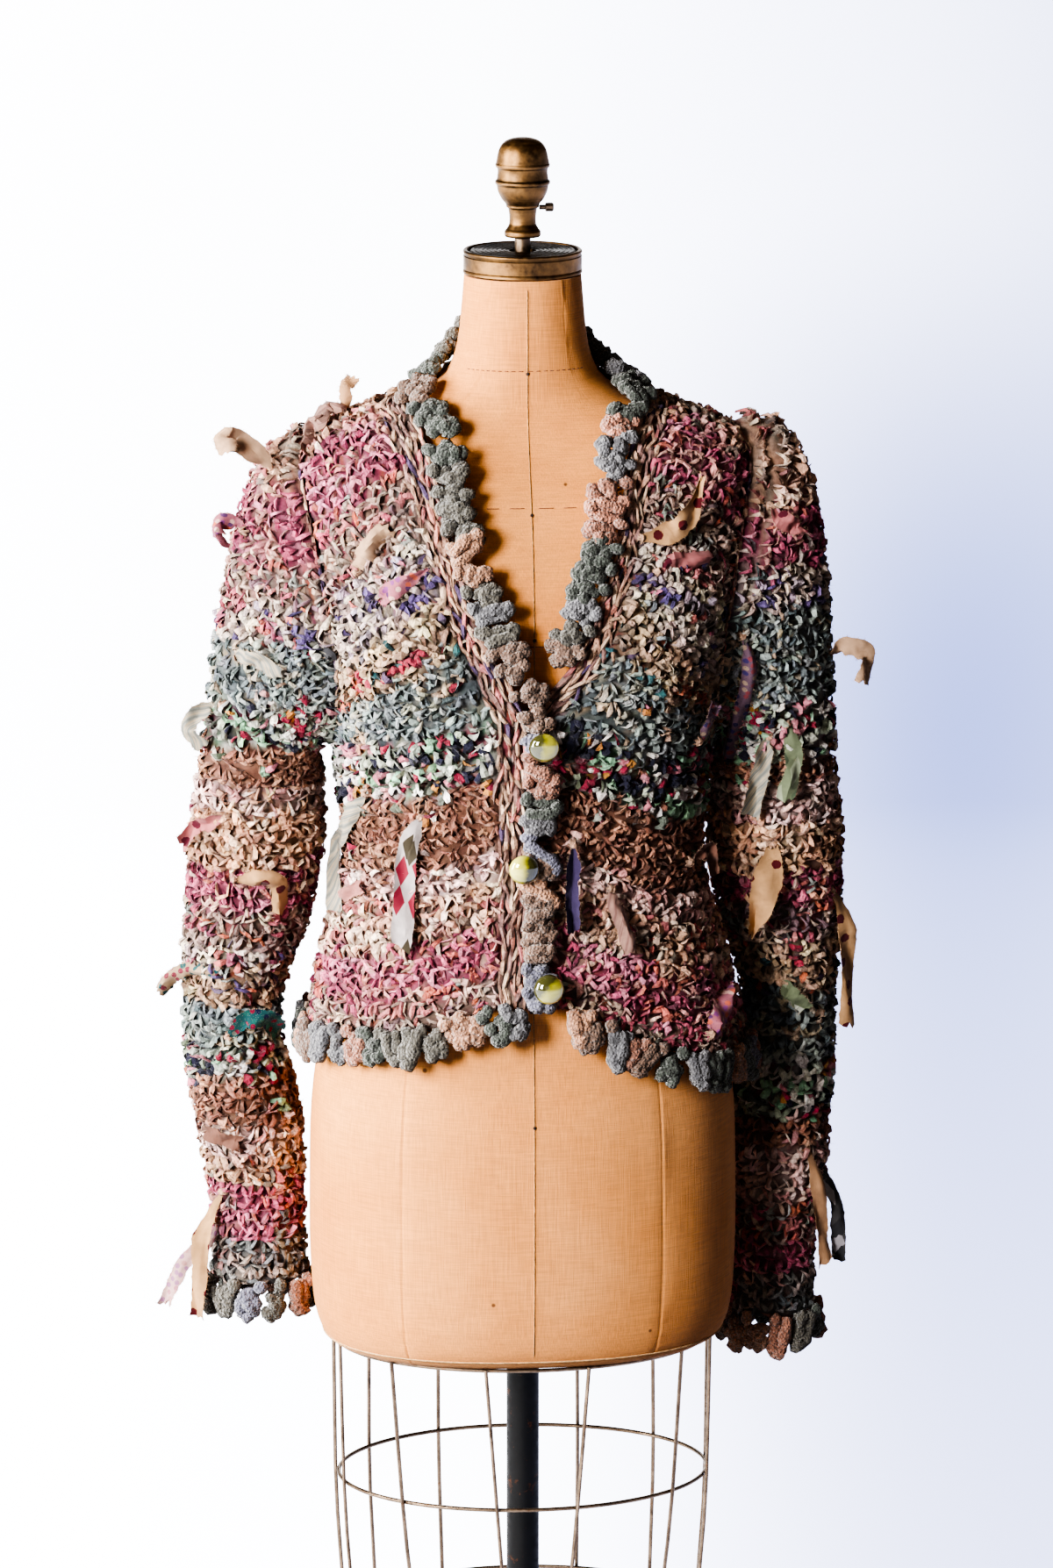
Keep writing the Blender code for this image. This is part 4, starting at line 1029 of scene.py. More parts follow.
PALETTES = {
    "peach": (
        ((226, 182, 158), 4), ((208, 164, 140), 3), ((240, 212, 192), 3), ((214, 148, 148), 1),
        ((188, 144, 122), 1), ((190, 112, 112), 1), ((150, 134, 122), 1),
    ),
    "sand": (((228, 178, 146), 4), ((210, 160, 130), 3), ((240, 204, 176), 3), ((184, 134, 112), 1)),
    "rose": (
        ((208, 110, 138), 4), ((186, 86, 116), 3), ((226, 146, 168), 3), ((152, 72, 96), 1),
        ((212, 152, 146), 2), ((204, 116, 104), 1), ((222, 180, 166), 1),
    ),
    "mixed": (
        ((190, 160, 148), 4), ((166, 142, 132), 3), ((208, 180, 168), 2), ((202, 128, 128), 2),
        ((166, 172, 166), 1), ((148, 116, 124), 1), ((224, 196, 176), 2), ((196, 98, 118), 2),
        ((208, 118, 92), 1),
    ),
    "purple": (
        ((216, 198, 186), 6), ((196, 176, 168), 5), ((112, 94, 146), 1), ((86, 70, 118), 1),
        ((186, 168, 182), 2), ((228, 210, 190), 3), ((206, 118, 112), 1), ((190, 104, 130), 1),
    ),
    "tan": (
        ((204, 174, 146), 7), ((182, 150, 126), 6), ((56, 100, 104), 1), ((172, 56, 76), 1),
        ((214, 192, 164), 3), ((104, 84, 112), 1), ((138, 120, 102), 1), ((206, 114, 84), 1),
    ),
    "blue": (
        ((152, 162, 162), 4), ((132, 144, 148), 4), ((172, 180, 176), 3), ((190, 186, 170), 2),
        ((114, 126, 130), 2), ((186, 166, 142), 1),
    ),
    "multi": (
        ((234, 230, 224), 5), ((38, 38, 62), 3), ((150, 192, 160), 2), ((168, 46, 76), 2),
        ((200, 140, 72), 1), ((212, 134, 150), 2), ((172, 180, 166), 3), ((120, 128, 108), 1),
    ),
    "brown": (((178, 126, 104), 4), ((156, 106, 88), 3), ((196, 146, 122), 3), ((130, 88, 74), 1)),
    "pale": (((236, 200, 192), 4), ((222, 182, 174), 3), ((244, 218, 210), 3), ((208, 154, 150), 1)),
    "grey": (((150, 146, 142), 3), ((174, 156, 148), 3), ((128, 132, 134), 3), ((196, 150, 146), 1)),
}
STYLES = {
    "rose": (1.0, 0.92, 0.95, 1.0), "multi": (0.95, 1.25, 1.15, 0.2), "brown": (0.95, 0.85, 0.9, 0.5),
    "peach": (1.1, 1.1, 1.1, 0.35), "sand": (1.1, 1.12, 1.1, 0.3), "mixed": (1.0, 0.85, 1.0, 0.6),
    "purple": (1.0, 1.1, 1.1, 0.3), "tan": (1.0, 1.15, 1.1, 0.25), "blue": (1.0, 0.95, 1.0, 0.4),
    "pale": (1.05, 0.95, 1.0, 0.4), "grey": (1.0, 0.85, 1.0, 0.6),
}
# The lower edge and the palette of each stripe, from the top down
BODY_STRIPES = (
    (1362, "peach"), (1318, "rose"), (1268, "mixed"), (1216, "purple"), (1174, "tan"), (1131, "blue"),
    (1082, "multi"), (1025, "brown"), (1004, "pale"), (965, "peach"), (926, "rose"), (0, "mixed"),
)
SLEEVE_STRIPES = {
    RIGHT: (
        (1320, "peach"), (1263, "rose"), (1228, "mixed"), (1199, "purple"), (1149, "blue"), (1117, "multi"),
        (1085, "brown"), (1064, "pale"), (1018, "sand"), (978, "rose"), (950, "mixed"), (929, "purple"),
        (900, "tan"), (864, "blue"), (840, "multi"), (800, "brown"), (779, "pale"), (750, "peach"),
        (708, "rose"), (0, "grey"),
    ),
    LEFT: (
        (1299, "peach"), (1256, "rose"), (1224, "purple"), (1149, "blue"), (1104, "multi"), (1078, "brown"),
        (1050, "pale"), (1003, "sand"), (978, "rose"), (943, "mixed"), (900, "tan"), (843, "blue"),
        (797, "multi"), (772, "brown"), (722, "pale"), (693, "mixed"), (665, "rose"), (0, "grey"),
    ),
}
# Steps from row to row and from stitch to stitch
ROW_PITCH, STITCH_PITCH = 11.6, 9.2
BACK_ROW_PITCH, BACK_STITCH_PITCH = 12.4, 10.6
HEM_REFERENCE = 903.0
SEAT_LIFT, ROOT_LIFT, RIDGE_LIFT = 3.4, 0.3, 2.7
# Brightness of the cloth against its palette, and of the ground against the cloth, which is darkened as
# painted shade between the stitches
CLOTH_DEPTH, GROUND_PAINTED_SHADE = 0.86, 0.42
# Stitches stray over a stripe's edge: how many stray far, and the spread of those and the others
FAR_SHARE, STRAY_FAR, STRAY_NEAR = 0.12, 26.0, 2.6
# Share of stitch strips in a colour of their own, and share that fray, at least and by their style
OWN_SHARE, FRAY_LEAST, FRAY_STYLE = 0.3, 0.25, 0.65


def row_levels(panel, reference, b):
    """The stripe level of a body's rows b: their height at one place across, from one common hem."""
    fine = np.linspace(0, PATCH_END, 160)
    height = panel(np.full(160, reference), fine)[0][:, 2]
    return np.interp(b, fine, height + (HEM_REFERENCE - height[0]) * (1 - fine))


def stripe_names(height, stripes):
    """The palette's name at each height."""
    bounds = np.array([row[0] for row in stripes])
    names = np.array([row[1] for row in stripes])
    return names[np.argmax(np.asarray(height)[:, None] > bounds, axis=1)]


def draw_colours(rng, palette, count):
    """Random colours of a palette of colours and weights."""
    options = linear(np.array([row[0] for row in palette]))
    weights = np.array([row[1] for row in palette], float)
    return options[rng.choice(len(options), count, p=weights / weights.sum())]


def carried_on(rng, colours, keep):
    """The colours, where each runs on over the next one with chance keep."""
    count = len(colours)
    fresh = rng.random(count) > keep
    fresh[0] = True
    return colours[np.maximum.accumulate(np.where(fresh, np.arange(count), 0))]


def pick_colours(rng, names, keep=0.45):
    """A colour for each stitch. A colour runs on to the next stitch with chance keep."""
    colours = np.zeros((len(names), 3))
    for name in np.unique(names):
        where = np.flatnonzero(names == name)
        colours[where] = carried_on(rng, draw_colours(rng, PALETTES[name], len(where)), keep)
    colours = colours * CLOTH_DEPTH * rng.lognormal(0, 0.13, (len(names), 1))
    return colours * rng.normal(1, 0.035, (len(names), 3))


def style_of(names, index):
    return np.array([STYLES[name][index] for name in names])


def rows_along(panel, low, high, middle, pitch):
    """Values of b at even real steps along the middle of a panel."""
    b = np.linspace(low, high, 200)
    along = lengths(panel(np.full(200, middle), b)[0])
    count = max(2, round(along[-1] / pitch))
    return np.interp((np.arange(count) + 0.5) / count * along[-1], along, b)


def stitch_places(rng, panel, rows, first, last, pitch):
    """Places a, b of the stitches in each row, every other row half a stitch on."""
    fine = np.linspace(first, last, 120)
    step = np.gradient(rows)
    found = []
    for number, b in enumerate(rows):
        along = lengths(panel(fine, np.full(120, b))[0])
        count = max(2, round(along[-1] / pitch))
        at = (np.arange(count) + (0.7 if number % 2 else 0.3)) / count * along[-1]
        a = np.interp(at + rng.normal(0, pitch * 0.13, count), along, fine)
        found.append(np.stack([a, b + rng.normal(0, 0.1, count) * step[number]], axis=1))
    return np.concatenate(found)


def directions(panel, a, b, step_a, step_b):
    """Seat on the outer face, and unit directions along the row, up the panel and outward."""
    seat, out = panel(a, b, SEAT_LIFT)
    ahead = panel(a + step_a, b, SEAT_LIFT)[0] - panel(a - step_a, b, SEAT_LIFT)[0]
    along = flattened(ahead, out)
    rise = panel(a, b + step_b, SEAT_LIFT)[0] - panel(a, b - step_b, SEAT_LIFT)[0]
    return seat, along, facing(np.cross(out, along), rise), out


def turned_pair(along, up, angle):
    """The pair of surface directions turned by an angle in radians."""
    c, s = np.cos(angle)[:, None], np.sin(angle)[:, None]
    return along * c + up * s, up * c - along * s


# Two slanting legs and a loop over the top of each stitch: angle, along, up, length, width, height
LEGS = (
    (1.0, -2.3, -0.8, 13.0, 4.5, 4.3),
    (-1.0, 2.3, -0.8, 13.0, 4.5, 4.3),
    (0.05, 0.0, 4.0, 12.5, 4.2, 3.8),
)


def make_stitches(
    name, panel, rows, first, last, stripes, seed, step_a, step_b, reference, pitch=STITCH_PITCH
):
    """Crumpled stitches over a panel, with the frayed threads that stand out of them."""
    rng = np.random.default_rng(seed)
    places = stitch_places(rng, panel, rows, first, last, pitch)
    a, b = places[:, 0], places[:, 1]
    seat, along, up, out = directions(panel, a, b, step_a, step_b)
    count = len(seat)
    height = seat[:, 2] if reference is None else row_levels(panel, reference, b)
    far = rng.random(count) < FAR_SHARE
    wander = np.where(far, rng.normal(0, STRAY_FAR, count), rng.normal(0, STRAY_NEAR, count))
    names = stripe_names(height + wander, stripes)
    colour = pick_colours(rng, names)
    rags, fibres = Heap(), Heap()
    long, wide, high, fray = (style_of(names, index) for index in range(4))
    for angle, off_along, off_up, length, width, height in LEGS:
        lie, cross = turned_pair(along, up, angle + rng.normal(0, 0.42, count))
        at = seat + along * (off_along + rng.normal(0, 0.9, count))[:, None]
        at = at + up * (off_up + rng.normal(0, 1.0, count))[:, None]
        sizes = (
            length * long * rng.uniform(0.75, 1.25, count),
            width * wide * rng.uniform(0.7, 1.35, count),
            height * high * rng.uniform(0.6, 1.5, count),
            1.8 * rng.uniform(0.7, 1.3, count),
        )
        own = np.where(rng.random((count, 1)) < OWN_SHARE, pick_colours(rng, names, 0.0), colour)
        shaded = own * rng.lognormal(0, 0.1, (count, 1))
        peak = add_rags(rags, rng, at, lie, cross, out, sizes, shaded, spin=0.75, bend=1.4)
        chosen = np.repeat(np.flatnonzero(rng.random(count) < FRAY_LEAST + FRAY_STYLE * fray), 2)
        ahead = out[chosen] * 0.8 + rng.normal(0, 0.75, (len(chosen), 3))
        length = rng.uniform(2.5, 6.5, len(chosen))
        add_fibres(fibres, rng, peak[chosen], ahead, length, own[chosen] * 1.1)
    stitches = rags.piece(f"stitches_{name}", RAG, "rag_crochet")
    return stitches, fibres.piece(f"fray_{name}", FIBRE, "rag_crochet")


def make_ground(
    name, panel, rows, a_at, b_at, stripes, seed, reference, wrap=False
):
    """The closed wall of cloth under the stitches, ridged along its rows."""
    rng = np.random.default_rng(seed)
    b, a = np.meshgrid(b_at, a_at, indexing="ij")
    phase = np.interp(b, rows, np.arange(len(rows)))
    ridge = 0.9 * np.cos(2 * np.pi * phase) + rng.normal(0, 0.35, a.shape)
    inner, outer = panel(a, b, ROOT_LIFT)[0], panel(a, b, RIDGE_LIFT + ridge)[0]
    points = np.concatenate([inner.reshape(-1, 3), outer.reshape(-1, 3)])
    height = points[:, 2] if reference is None else np.tile(row_levels(panel, reference, b.ravel()), 2)
    height = height + rng.normal(0, 2.0, len(points))
    # Painted shade: the ground under the stitches is darkened to stand for the shade in the gaps between them
    tint = pick_colours(rng, stripe_names(height, stripes), 0.0) * GROUND_PAINTED_SHADE
    faces = shell_faces(*a.shape, wrap)
    made = add_piece(f"ground_{name}", points, faces, BASE_RAG, tint, is_smooth=True)
    return made, middle_area(panel, a, b, wrap)


def middle_area(panel, a, b, wrap):
    """Area of a panel's mid surface in square metres."""
    at = panel(a, b, WALL / 2)[0]
    if wrap:
        at = np.concatenate([at, at[:, :1]], axis=1)
    across, along = np.diff(at, axis=1)[:-1], np.diff(at, axis=0)[:, :-1]
    return float(np.linalg.norm(np.cross(across, along), axis=-1).sum()) * MM * MM


# Chenille: step from lobe to lobe, balls in a lobe, share of gaps that are filled, and the chance
# that a lobe keeps the colour of the one before it
LOBE_PITCH, POPCORN, FILLED_SHARE, LOBE_KEEP = 17.0, 13, 0.6, 0.25
LOOP_RINGS, LOOP_SIDES = 20, 13
LOOP_RADIUS, LOOP_HALF, LOOP_RISE = 6.2, 4.6, 6.6
CHENILLE_COLOURS = (
    ((108, 104, 94), 3), ((122, 122, 128), 3), ((80, 88, 80), 4), ((198, 136, 112), 5),
    ((206, 152, 120), 4), ((148, 116, 98), 4), ((128, 128, 150), 1),
)


def make_frill(name, edge, off, out, reach, seed, loops, node_name):
    """Chenille yarn in close lobes along an edge: a share are open loops, the others popcorn knots."""
    rng = np.random.default_rng(seed)
    along = lengths(edge)
    lobes = max(3, round(along[-1] / LOBE_PITCH))
    share = (np.arange(lobes) + 0.5) / lobes * along[-1] + rng.normal(0, 1.6, lobes)

    def at(values):
        return np.stack([np.interp(share, along, values[:, k]) for k in range(3)], axis=1)

    base = at(edge)
    forward = unit(at(np.gradient(edge, axis=0)))
    up = flattened(at(out), forward)
    away = facing(np.cross(up, forward), at(off))
    colour = carried_on(rng, draw_colours(rng, CHENILLE_COLOURS, lobes), LOBE_KEEP)
    colour = colour * rng.lognormal(0, 0.1, (lobes, 1))

    def placed(index, far, aside, high):
        reached = base[index] + away[index] * far[:, None]
        return reached + forward[index] * aside[:, None] + up[index] * high[:, None]

    heap = Heap()
    length = rng.uniform(0.8, 1.1, lobes)
    looped = rng.random(lobes) < loops
    around = np.linspace(0.0, np.pi, LOOP_RINGS)
    for number in np.flatnonzero(looped):
        thick = LOOP_RADIUS * rng.uniform(0.86, 1.16)
        far = (2 * reach - thick) * length[number] * np.sin(around) ** 0.75
        aside = -LOOP_HALF * rng.uniform(0.55, 1.0) * np.cos(around) * (1 + 0.35 * np.sin(around))
        aside = aside + rng.normal(0, 0.3) * far
        high = LOOP_RISE + rng.normal(0, 1.3) * np.cos(around) + rng.normal(0, 0.9) + 0.5 * np.sin(around * 5)
        radius = thick * (1 + 0.14 * np.sin(around * 7 + rng.uniform(0, 6))) * (0.82 + 0.18 * np.sin(around))
        tones = np.tile(colour[number], (LOOP_RINGS, 1))
        add_yarn(heap, rng, placed(number, far, aside, high), radius, tones, LOOP_SIDES, 0.17)
    # Popcorn: balls over a long lobe, and a few loose ones between all the lobes
    popped = np.repeat(np.flatnonzero(~looped), POPCORN)
    spread = unit(rng.normal(0, 1, (len(popped), 3)))
    spread[:, 2] = np.abs(spread[:, 2])
    loose = np.concatenate([np.arange(lobes), np.flatnonzero(rng.random(lobes) < FILLED_SHARE)])
    root = np.arange(len(loose)) < lobes
    where = np.concatenate([popped, loose])
    count = len(where)
    between = np.where(root, 0.5, rng.uniform(0, reach, len(loose)))
    far = np.concatenate([reach * length[popped] + reach * 0.6 * spread[:, 0], between])
    aside = np.concatenate([7.0 * spread[:, 1], rng.uniform(4, 11, len(loose))])
    high = np.concatenate([4.6 + 4.2 * spread[:, 2], rng.uniform(7.0, 9.0, len(loose))])
    centres = placed(where, far, aside, high)
    frames = np.stack([away[where], forward[where], up[where]], axis=1)
    sizes = rng.uniform(4.4, 6.3, (count, 3)) * np.array([1.08, 1.0, 0.9])
    add_balls(heap, rng, centres, frames, sizes, colour[where] * rng.lognormal(0, 0.07, (count, 1)))
    made = heap.piece(f"chenille_{name}", CHENILLE, "chenille", True)
    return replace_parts(made, node_name)


def edge_of(panel, a, b, step_a=0.0, step_b=0.0):
    """An edge's points, the direction away from the cloth and the outward direction."""
    at, out = panel(a, b, WALL / 2)
    inside = panel(a + step_a, b + step_b, WALL / 2)[0]
    return at, at - inside, out


BAND_COLOURS = (
    ((190, 156, 134), 6), ((172, 134, 116), 5), ((190, 118, 118), 2), ((200, 136, 122), 2),
    ((92, 74, 108), 1), ((150, 116, 110), 4), ((208, 180, 158), 4), ((126, 94, 84), 3),
)
STRAND_LIFT, STRAND_STEP = 3.2, 9.5


def make_strands(name, panel, low, high, lanes, seed):
    """Lengthwise strands of a band, each a row of long overlapped strips."""
    rng = np.random.default_rng(seed)
    heap = Heap()
    fine = np.linspace(low, high, 300)
    for lane in lanes:
        along = lengths(panel(np.full(300, lane), fine)[0])
        at = np.arange(4, along[-1] - 4, STRAND_STEP)
        at = np.clip(at + rng.normal(0, 2.0, len(at)), 2, along[-1] - 2)
        b = np.interp(at, along, fine)
        a = np.full(len(b), lane) + rng.normal(0, 0.05, len(b))
        seat, out = panel(a, b, STRAND_LIFT)
        ahead = panel(a, b + 0.01, STRAND_LIFT)[0] - panel(a, b - 0.01, STRAND_LIFT)[0]
        ahead = flattened(ahead, out)
        lie, cross = turned_pair(ahead, np.cross(out, ahead), rng.normal(0, 0.26, len(b)))
        sizes = (
            rng.uniform(14, 26, len(b)), rng.uniform(2.6, 4.8, len(b)),
            rng.uniform(2.2, 4.2, len(b)), rng.uniform(1.8, 2.8, len(b)),
        )
        colour = draw_colours(rng, BAND_COLOURS, len(b)) * rng.lognormal(0, 0.14, (len(b), 1))
        add_rags(heap, rng, seat, lie, cross, out, sizes, colour, 1.0, 0.4, 0.6)
    return heap.piece(f"strands_{name}", RAG, "band")


def span(panel, a, b):
    """Length of a panel's line in metres, for a line of a or of b values."""
    a, b = np.broadcast_arrays(np.asarray(a, float), np.asarray(b, float))
    return float(lengths(panel(a, b, WALL / 2)[0])[-1]) * MM


def make_front(side, name, seed):
    panel, band = front_panel(side), front_panel(side, True)
    rows = rows_along(panel, 0.0, PATCH_END, 0.5, ROW_PITCH)
    b_at = np.linspace(0, PATCH_END, 72)
    ground, area = make_ground(
        f"front_{name}", panel, rows, np.linspace(0, 1, 28), b_at, BODY_STRIPES, seed, 0.45
    )
    stitches, fray = make_stitches(
        f"front_{name}", panel, rows, 0.01, 0.995, BODY_STRIPES, seed + 1, 0.02, 0.01, 0.45
    )
    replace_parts(ground, f"front_{name}")
    across, stripes = np.linspace(0, 1, 7), ((0, "mixed"),)
    edge_ground, edge_area = make_ground(
        f"band_{name}", band, rows, across, b_at, stripes, seed + 2, 0.5
    )
    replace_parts(edge_ground, f"band_{name}")
    strands = make_strands(name, band, 0.0, 0.998, (0.08, 0.3, 0.5, 0.7, 0.92), seed + 3)
    return panel, band, (ground, stitches, fray, area), (edge_ground, strands, edge_area)


right_panel, right_band, right_front, right_edge = make_front(RIGHT, "right", 20)
left_panel, left_band, left_front, left_edge = make_front(LEFT, "left", 30)

back = back_panel()
back_rows = rows_along(back, 0.0, PATCH_END, 0.5, BACK_ROW_PITCH)
back_ground, back_area = make_ground(
    "back", back, back_rows, np.linspace(0, 1, 48), np.linspace(0, PATCH_END, 72), BODY_STRIPES, 40, 0.25
)
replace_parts(back_ground, "back")
back_stitches, back_fray = make_stitches(
    "back", back, back_rows, 0.004, 0.996, BODY_STRIPES, 41, 0.01, 0.01, 0.25, BACK_STITCH_PITCH
)


def make_sleeve(side, name, seed):
    panel = sleeve_panel(side)
    rows = rows_along(panel, 0.03, 1.995, 90.0, ROW_PITCH)
    b_at = np.concatenate([np.linspace(0.02, 1, 34), np.linspace(1, 2, 60)[1:]])
    a_at, stripes = np.linspace(0, 360, 31)[:-1], SLEEVE_STRIPES[side]
    ground, area = make_ground(
        f"sleeve_{name}", panel, rows, a_at, b_at, stripes, seed, None, wrap=True
    )
    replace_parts(ground, f"sleeve_{name}")
    stitches, fray = make_stitches(
        f"sleeve_{name}", panel, rows, 0.0, 360.0, stripes, seed + 1, 2.0, 0.01, None
    )
    turns = np.linspace(0, 360, 73)
    edge, off, out = edge_of(panel, turns, np.full(73, 2.0), 0.0, -0.04)
    frill = make_frill(f"cuff_{name}", edge, off, out, 16.5, seed + 2, 0.45, f"frill_cuff_{name}")
    return panel, (ground, stitches, fray, area), frill


right_sleeve, right_arm, right_cuff = make_sleeve(RIGHT, "right", 50)
left_sleeve, left_arm, left_cuff = make_sleeve(LEFT, "left", 60)

# Frills along the fronts, the neck and the hem

# Share of the front edge where the neckline starts
V_START = 8 / 18


def hem_frill(panel, first, last, count, name, node_name, seed, band=None):
    a = np.linspace(first, last, count)
    edge, off, out = edge_of(panel, a, np.zeros(count), 0.0, 0.02)
    if band:
        start = edge_of(band, np.linspace(0.0, 0.95, 10), np.zeros(10), 0.0, 0.02)
        edge, off, out = (np.concatenate(pair) for pair in zip(start, (edge, off, out)))
    return make_frill(name, edge, off, out, 15.5, seed, 0.3, node_name)


def front_frill(band, first, last, name, node_name, seed, reach, loops):
    b = np.linspace(first, last, 90)
    edge, off, out = edge_of(band, np.zeros(90), b, 0.4, 0.0)
    return make_frill(name, edge, off, out, reach, seed, loops, node_name)


hem_right = hem_frill(right_panel, 0.0, 1.0, 80, "hem_right", "frill_hem_right", 70, right_band)
hem_left = hem_frill(left_panel, 0.12, 1.0, 80, "hem_left", "frill_hem_left", 71)
hem_back = hem_frill(back, 0.0, 1.0, 140, "hem_back", "frill_hem_back", 72)
neck_right = front_frill(right_band, V_START, 0.985, "neck_right", "frill_neck_right", 73, 14.6, 0.25)
neck_left = front_frill(left_band, V_START + 0.045, 0.985, "neck_left", "frill_neck_left", 74, 15.4, 0.25)
front_edging = front_frill(right_band, 0.0, V_START - 0.01, "front", "frill_front", 75, 13.2, 0.6)
neck_a = np.linspace(0.22, 0.78, 90)
edge, off, out = edge_of(back, neck_a, np.full(90, PATCH_END), 0.0, -0.02)
neck_back = make_frill("neck_back", edge, off, out, 15.0, 76, 0.2, "frill_neck_back")

ARMHOLE_LIFT = 6.2


def armhole_seam(side, name, seed):
    """Strands along the armhole, where the sleeve is joined to the body."""
    rng = np.random.default_rng(seed)
    turns = np.linspace(0, 360, 200)
    at = armhole(turns, side)
    along = lengths(cloth(at[:, 0], at[:, 1], ARMHOLE_LIFT + 0.2))
    where = np.arange(3, along[-1] - 3, 9.0)
    turn = np.interp(where, along, turns)
    at = armhole(turn, side)
    seat, out = cloth(at[:, 0], at[:, 1], ARMHOLE_LIFT), figure_normal(at[:, 0], at[:, 1])
    near = armhole(turn + 2.0, side)
    ahead = flattened(cloth(near[:, 0], near[:, 1], ARMHOLE_LIFT) - seat, out)
    sizes = (
        rng.uniform(13, 20, len(turn)), rng.uniform(2.4, 3.8, len(turn)),
        rng.uniform(1.6, 3.0, len(turn)), rng.uniform(1.6, 2.4, len(turn)),
    )
    options = linear(np.array([row[0] for row in BAND_COLOURS]))
    colour = options[rng.integers(0, len(options), len(turn))]
    heap = Heap()
    add_rags(heap, rng, seat, ahead, np.cross(out, ahead), out, sizes, colour, 1.0, 0.4, 0.5)
    return heap.piece(f"armhole_{name}", RAG, "rag_crochet")


seam_right = armhole_seam(RIGHT, "right", 80)
seam_left = armhole_seam(LEFT, "left", 81)


def panel_cut(panel):
    """Greatest width and length of a panel in metres."""
    across = max(span(panel, np.linspace(0, 1, 60), t) for t in np.linspace(0, 0.99, 12))
    along = max(span(panel, s, np.linspace(0, PATCH_END, 60)) for s in (0.0, 0.5, 1.0))
    return across, along


def sleeve_cut(panel):
    across = max(span(panel, np.linspace(0, 360, 90), t) for t in np.linspace(0.05, 1.99, 14))
    along = max(span(panel, turn, np.linspace(0.02, 2, 90)) for turn in (0.0, 90.0, 180.0))
    return across, along


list(panel_cut(right_panel))
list(panel_cut(left_panel))
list(panel_cut(right_band))
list(panel_cut(left_band))
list(panel_cut(back))
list(sleeve_cut(right_sleeve))
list(sleeve_cut(left_sleeve))

# Torn strips


def print_finish(name, ground, marks, kind):
    """Printed cotton. Its UV is in centimetres: across the strip, then along it."""
    made, tree, shader = new_finish(name, Roughness=0.9, Sheen_Weight=0.15, Sheen_Roughness=0.5)
    shader.inputs["Specular IOR Level"].default_value = 0.25
    coordinate = node(tree, "TexCoord")
    uv, place = coordinate.outputs["UV"], coordinate.outputs["Object"]
    colour = ramp(tree, noise(tree, place, 90.0, 3.0), ((0.3, [v * 0.88 for v in ground]), (0.7, ground)))
    if kind == "dots":
        spots = cells(tree, uv, 0.48, 0.6).outputs["Distance"]
        ragged = compute(tree, "MULTIPLY_ADD", noise(tree, uv, 5.0), 0.12, spots)
        colour = mix(tree, grey(tree, ragged, 0.235, 0.255, 1.0, 0.0), colour, rgba(marks[0]))
    elif kind == "ticking":
        slanted = mapped(tree, uv, turn=0.45)
        for scale, mark in zip((0.55, 1.3), marks):
            sockets = {"Vector": slanted, "Scale": scale, "Distortion": 0.4, "Detail Scale": 2.0}
            lines = node(tree, "TexWave", sockets).outputs[1]
            colour = mix(tree, grey(tree, lines, 0.62, 0.72, 0.0, 0.85), colour, rgba(mark))
    elif kind == "leaves":
        slanted = mapped(tree, uv, (1.0, 0.46, 1.0), 0.12)
        leaf = cells(tree, slanted, 0.8, 0.8, distance="MANHATTAN").outputs
        stops = ((0.0, marks[0]), (0.42, marks[1]), (0.7, marks[2]))
        tone = ramp(tree, leaf["Color"], stops, "CONSTANT")
        colour = mix(tree, grey(tree, leaf["Distance"], 0.42, 0.46, 1.0, 0.0), colour, tone)
    elif kind == "print":
        patch = cells(tree, uv, 1.6).outputs
        stops = tuple((k / len(marks), mark) for k, mark in enumerate(marks))
        tone = ramp(tree, patch["Color"], stops, "CONSTANT")
        colour = mix(tree, grey(tree, patch["Distance"], 0.30, 0.36, 1.0, 0.0), colour, tone)
        small = cells(tree, uv, 4.5).outputs["Distance"]
        colour = mix(tree, grey(tree, small, 0.10, 0.14, 0.8, 0.0), colour, rgba(marks[-1]))
    tree.links.new(multiply(tree, colour, own_tint(tree)), shader.inputs["Base Color"])
    weft = noise(tree, mapped(tree, uv, (3.0, 26.0, 1.0)), 1.0, 1.0)
    warp = noise(tree, mapped(tree, uv, (26.0, 3.0, 1.0)), 1.0, 1.0)
    bump(tree, shader, compute(tree, "ADD", weft, warp), 0.5, 0.35)
    return made


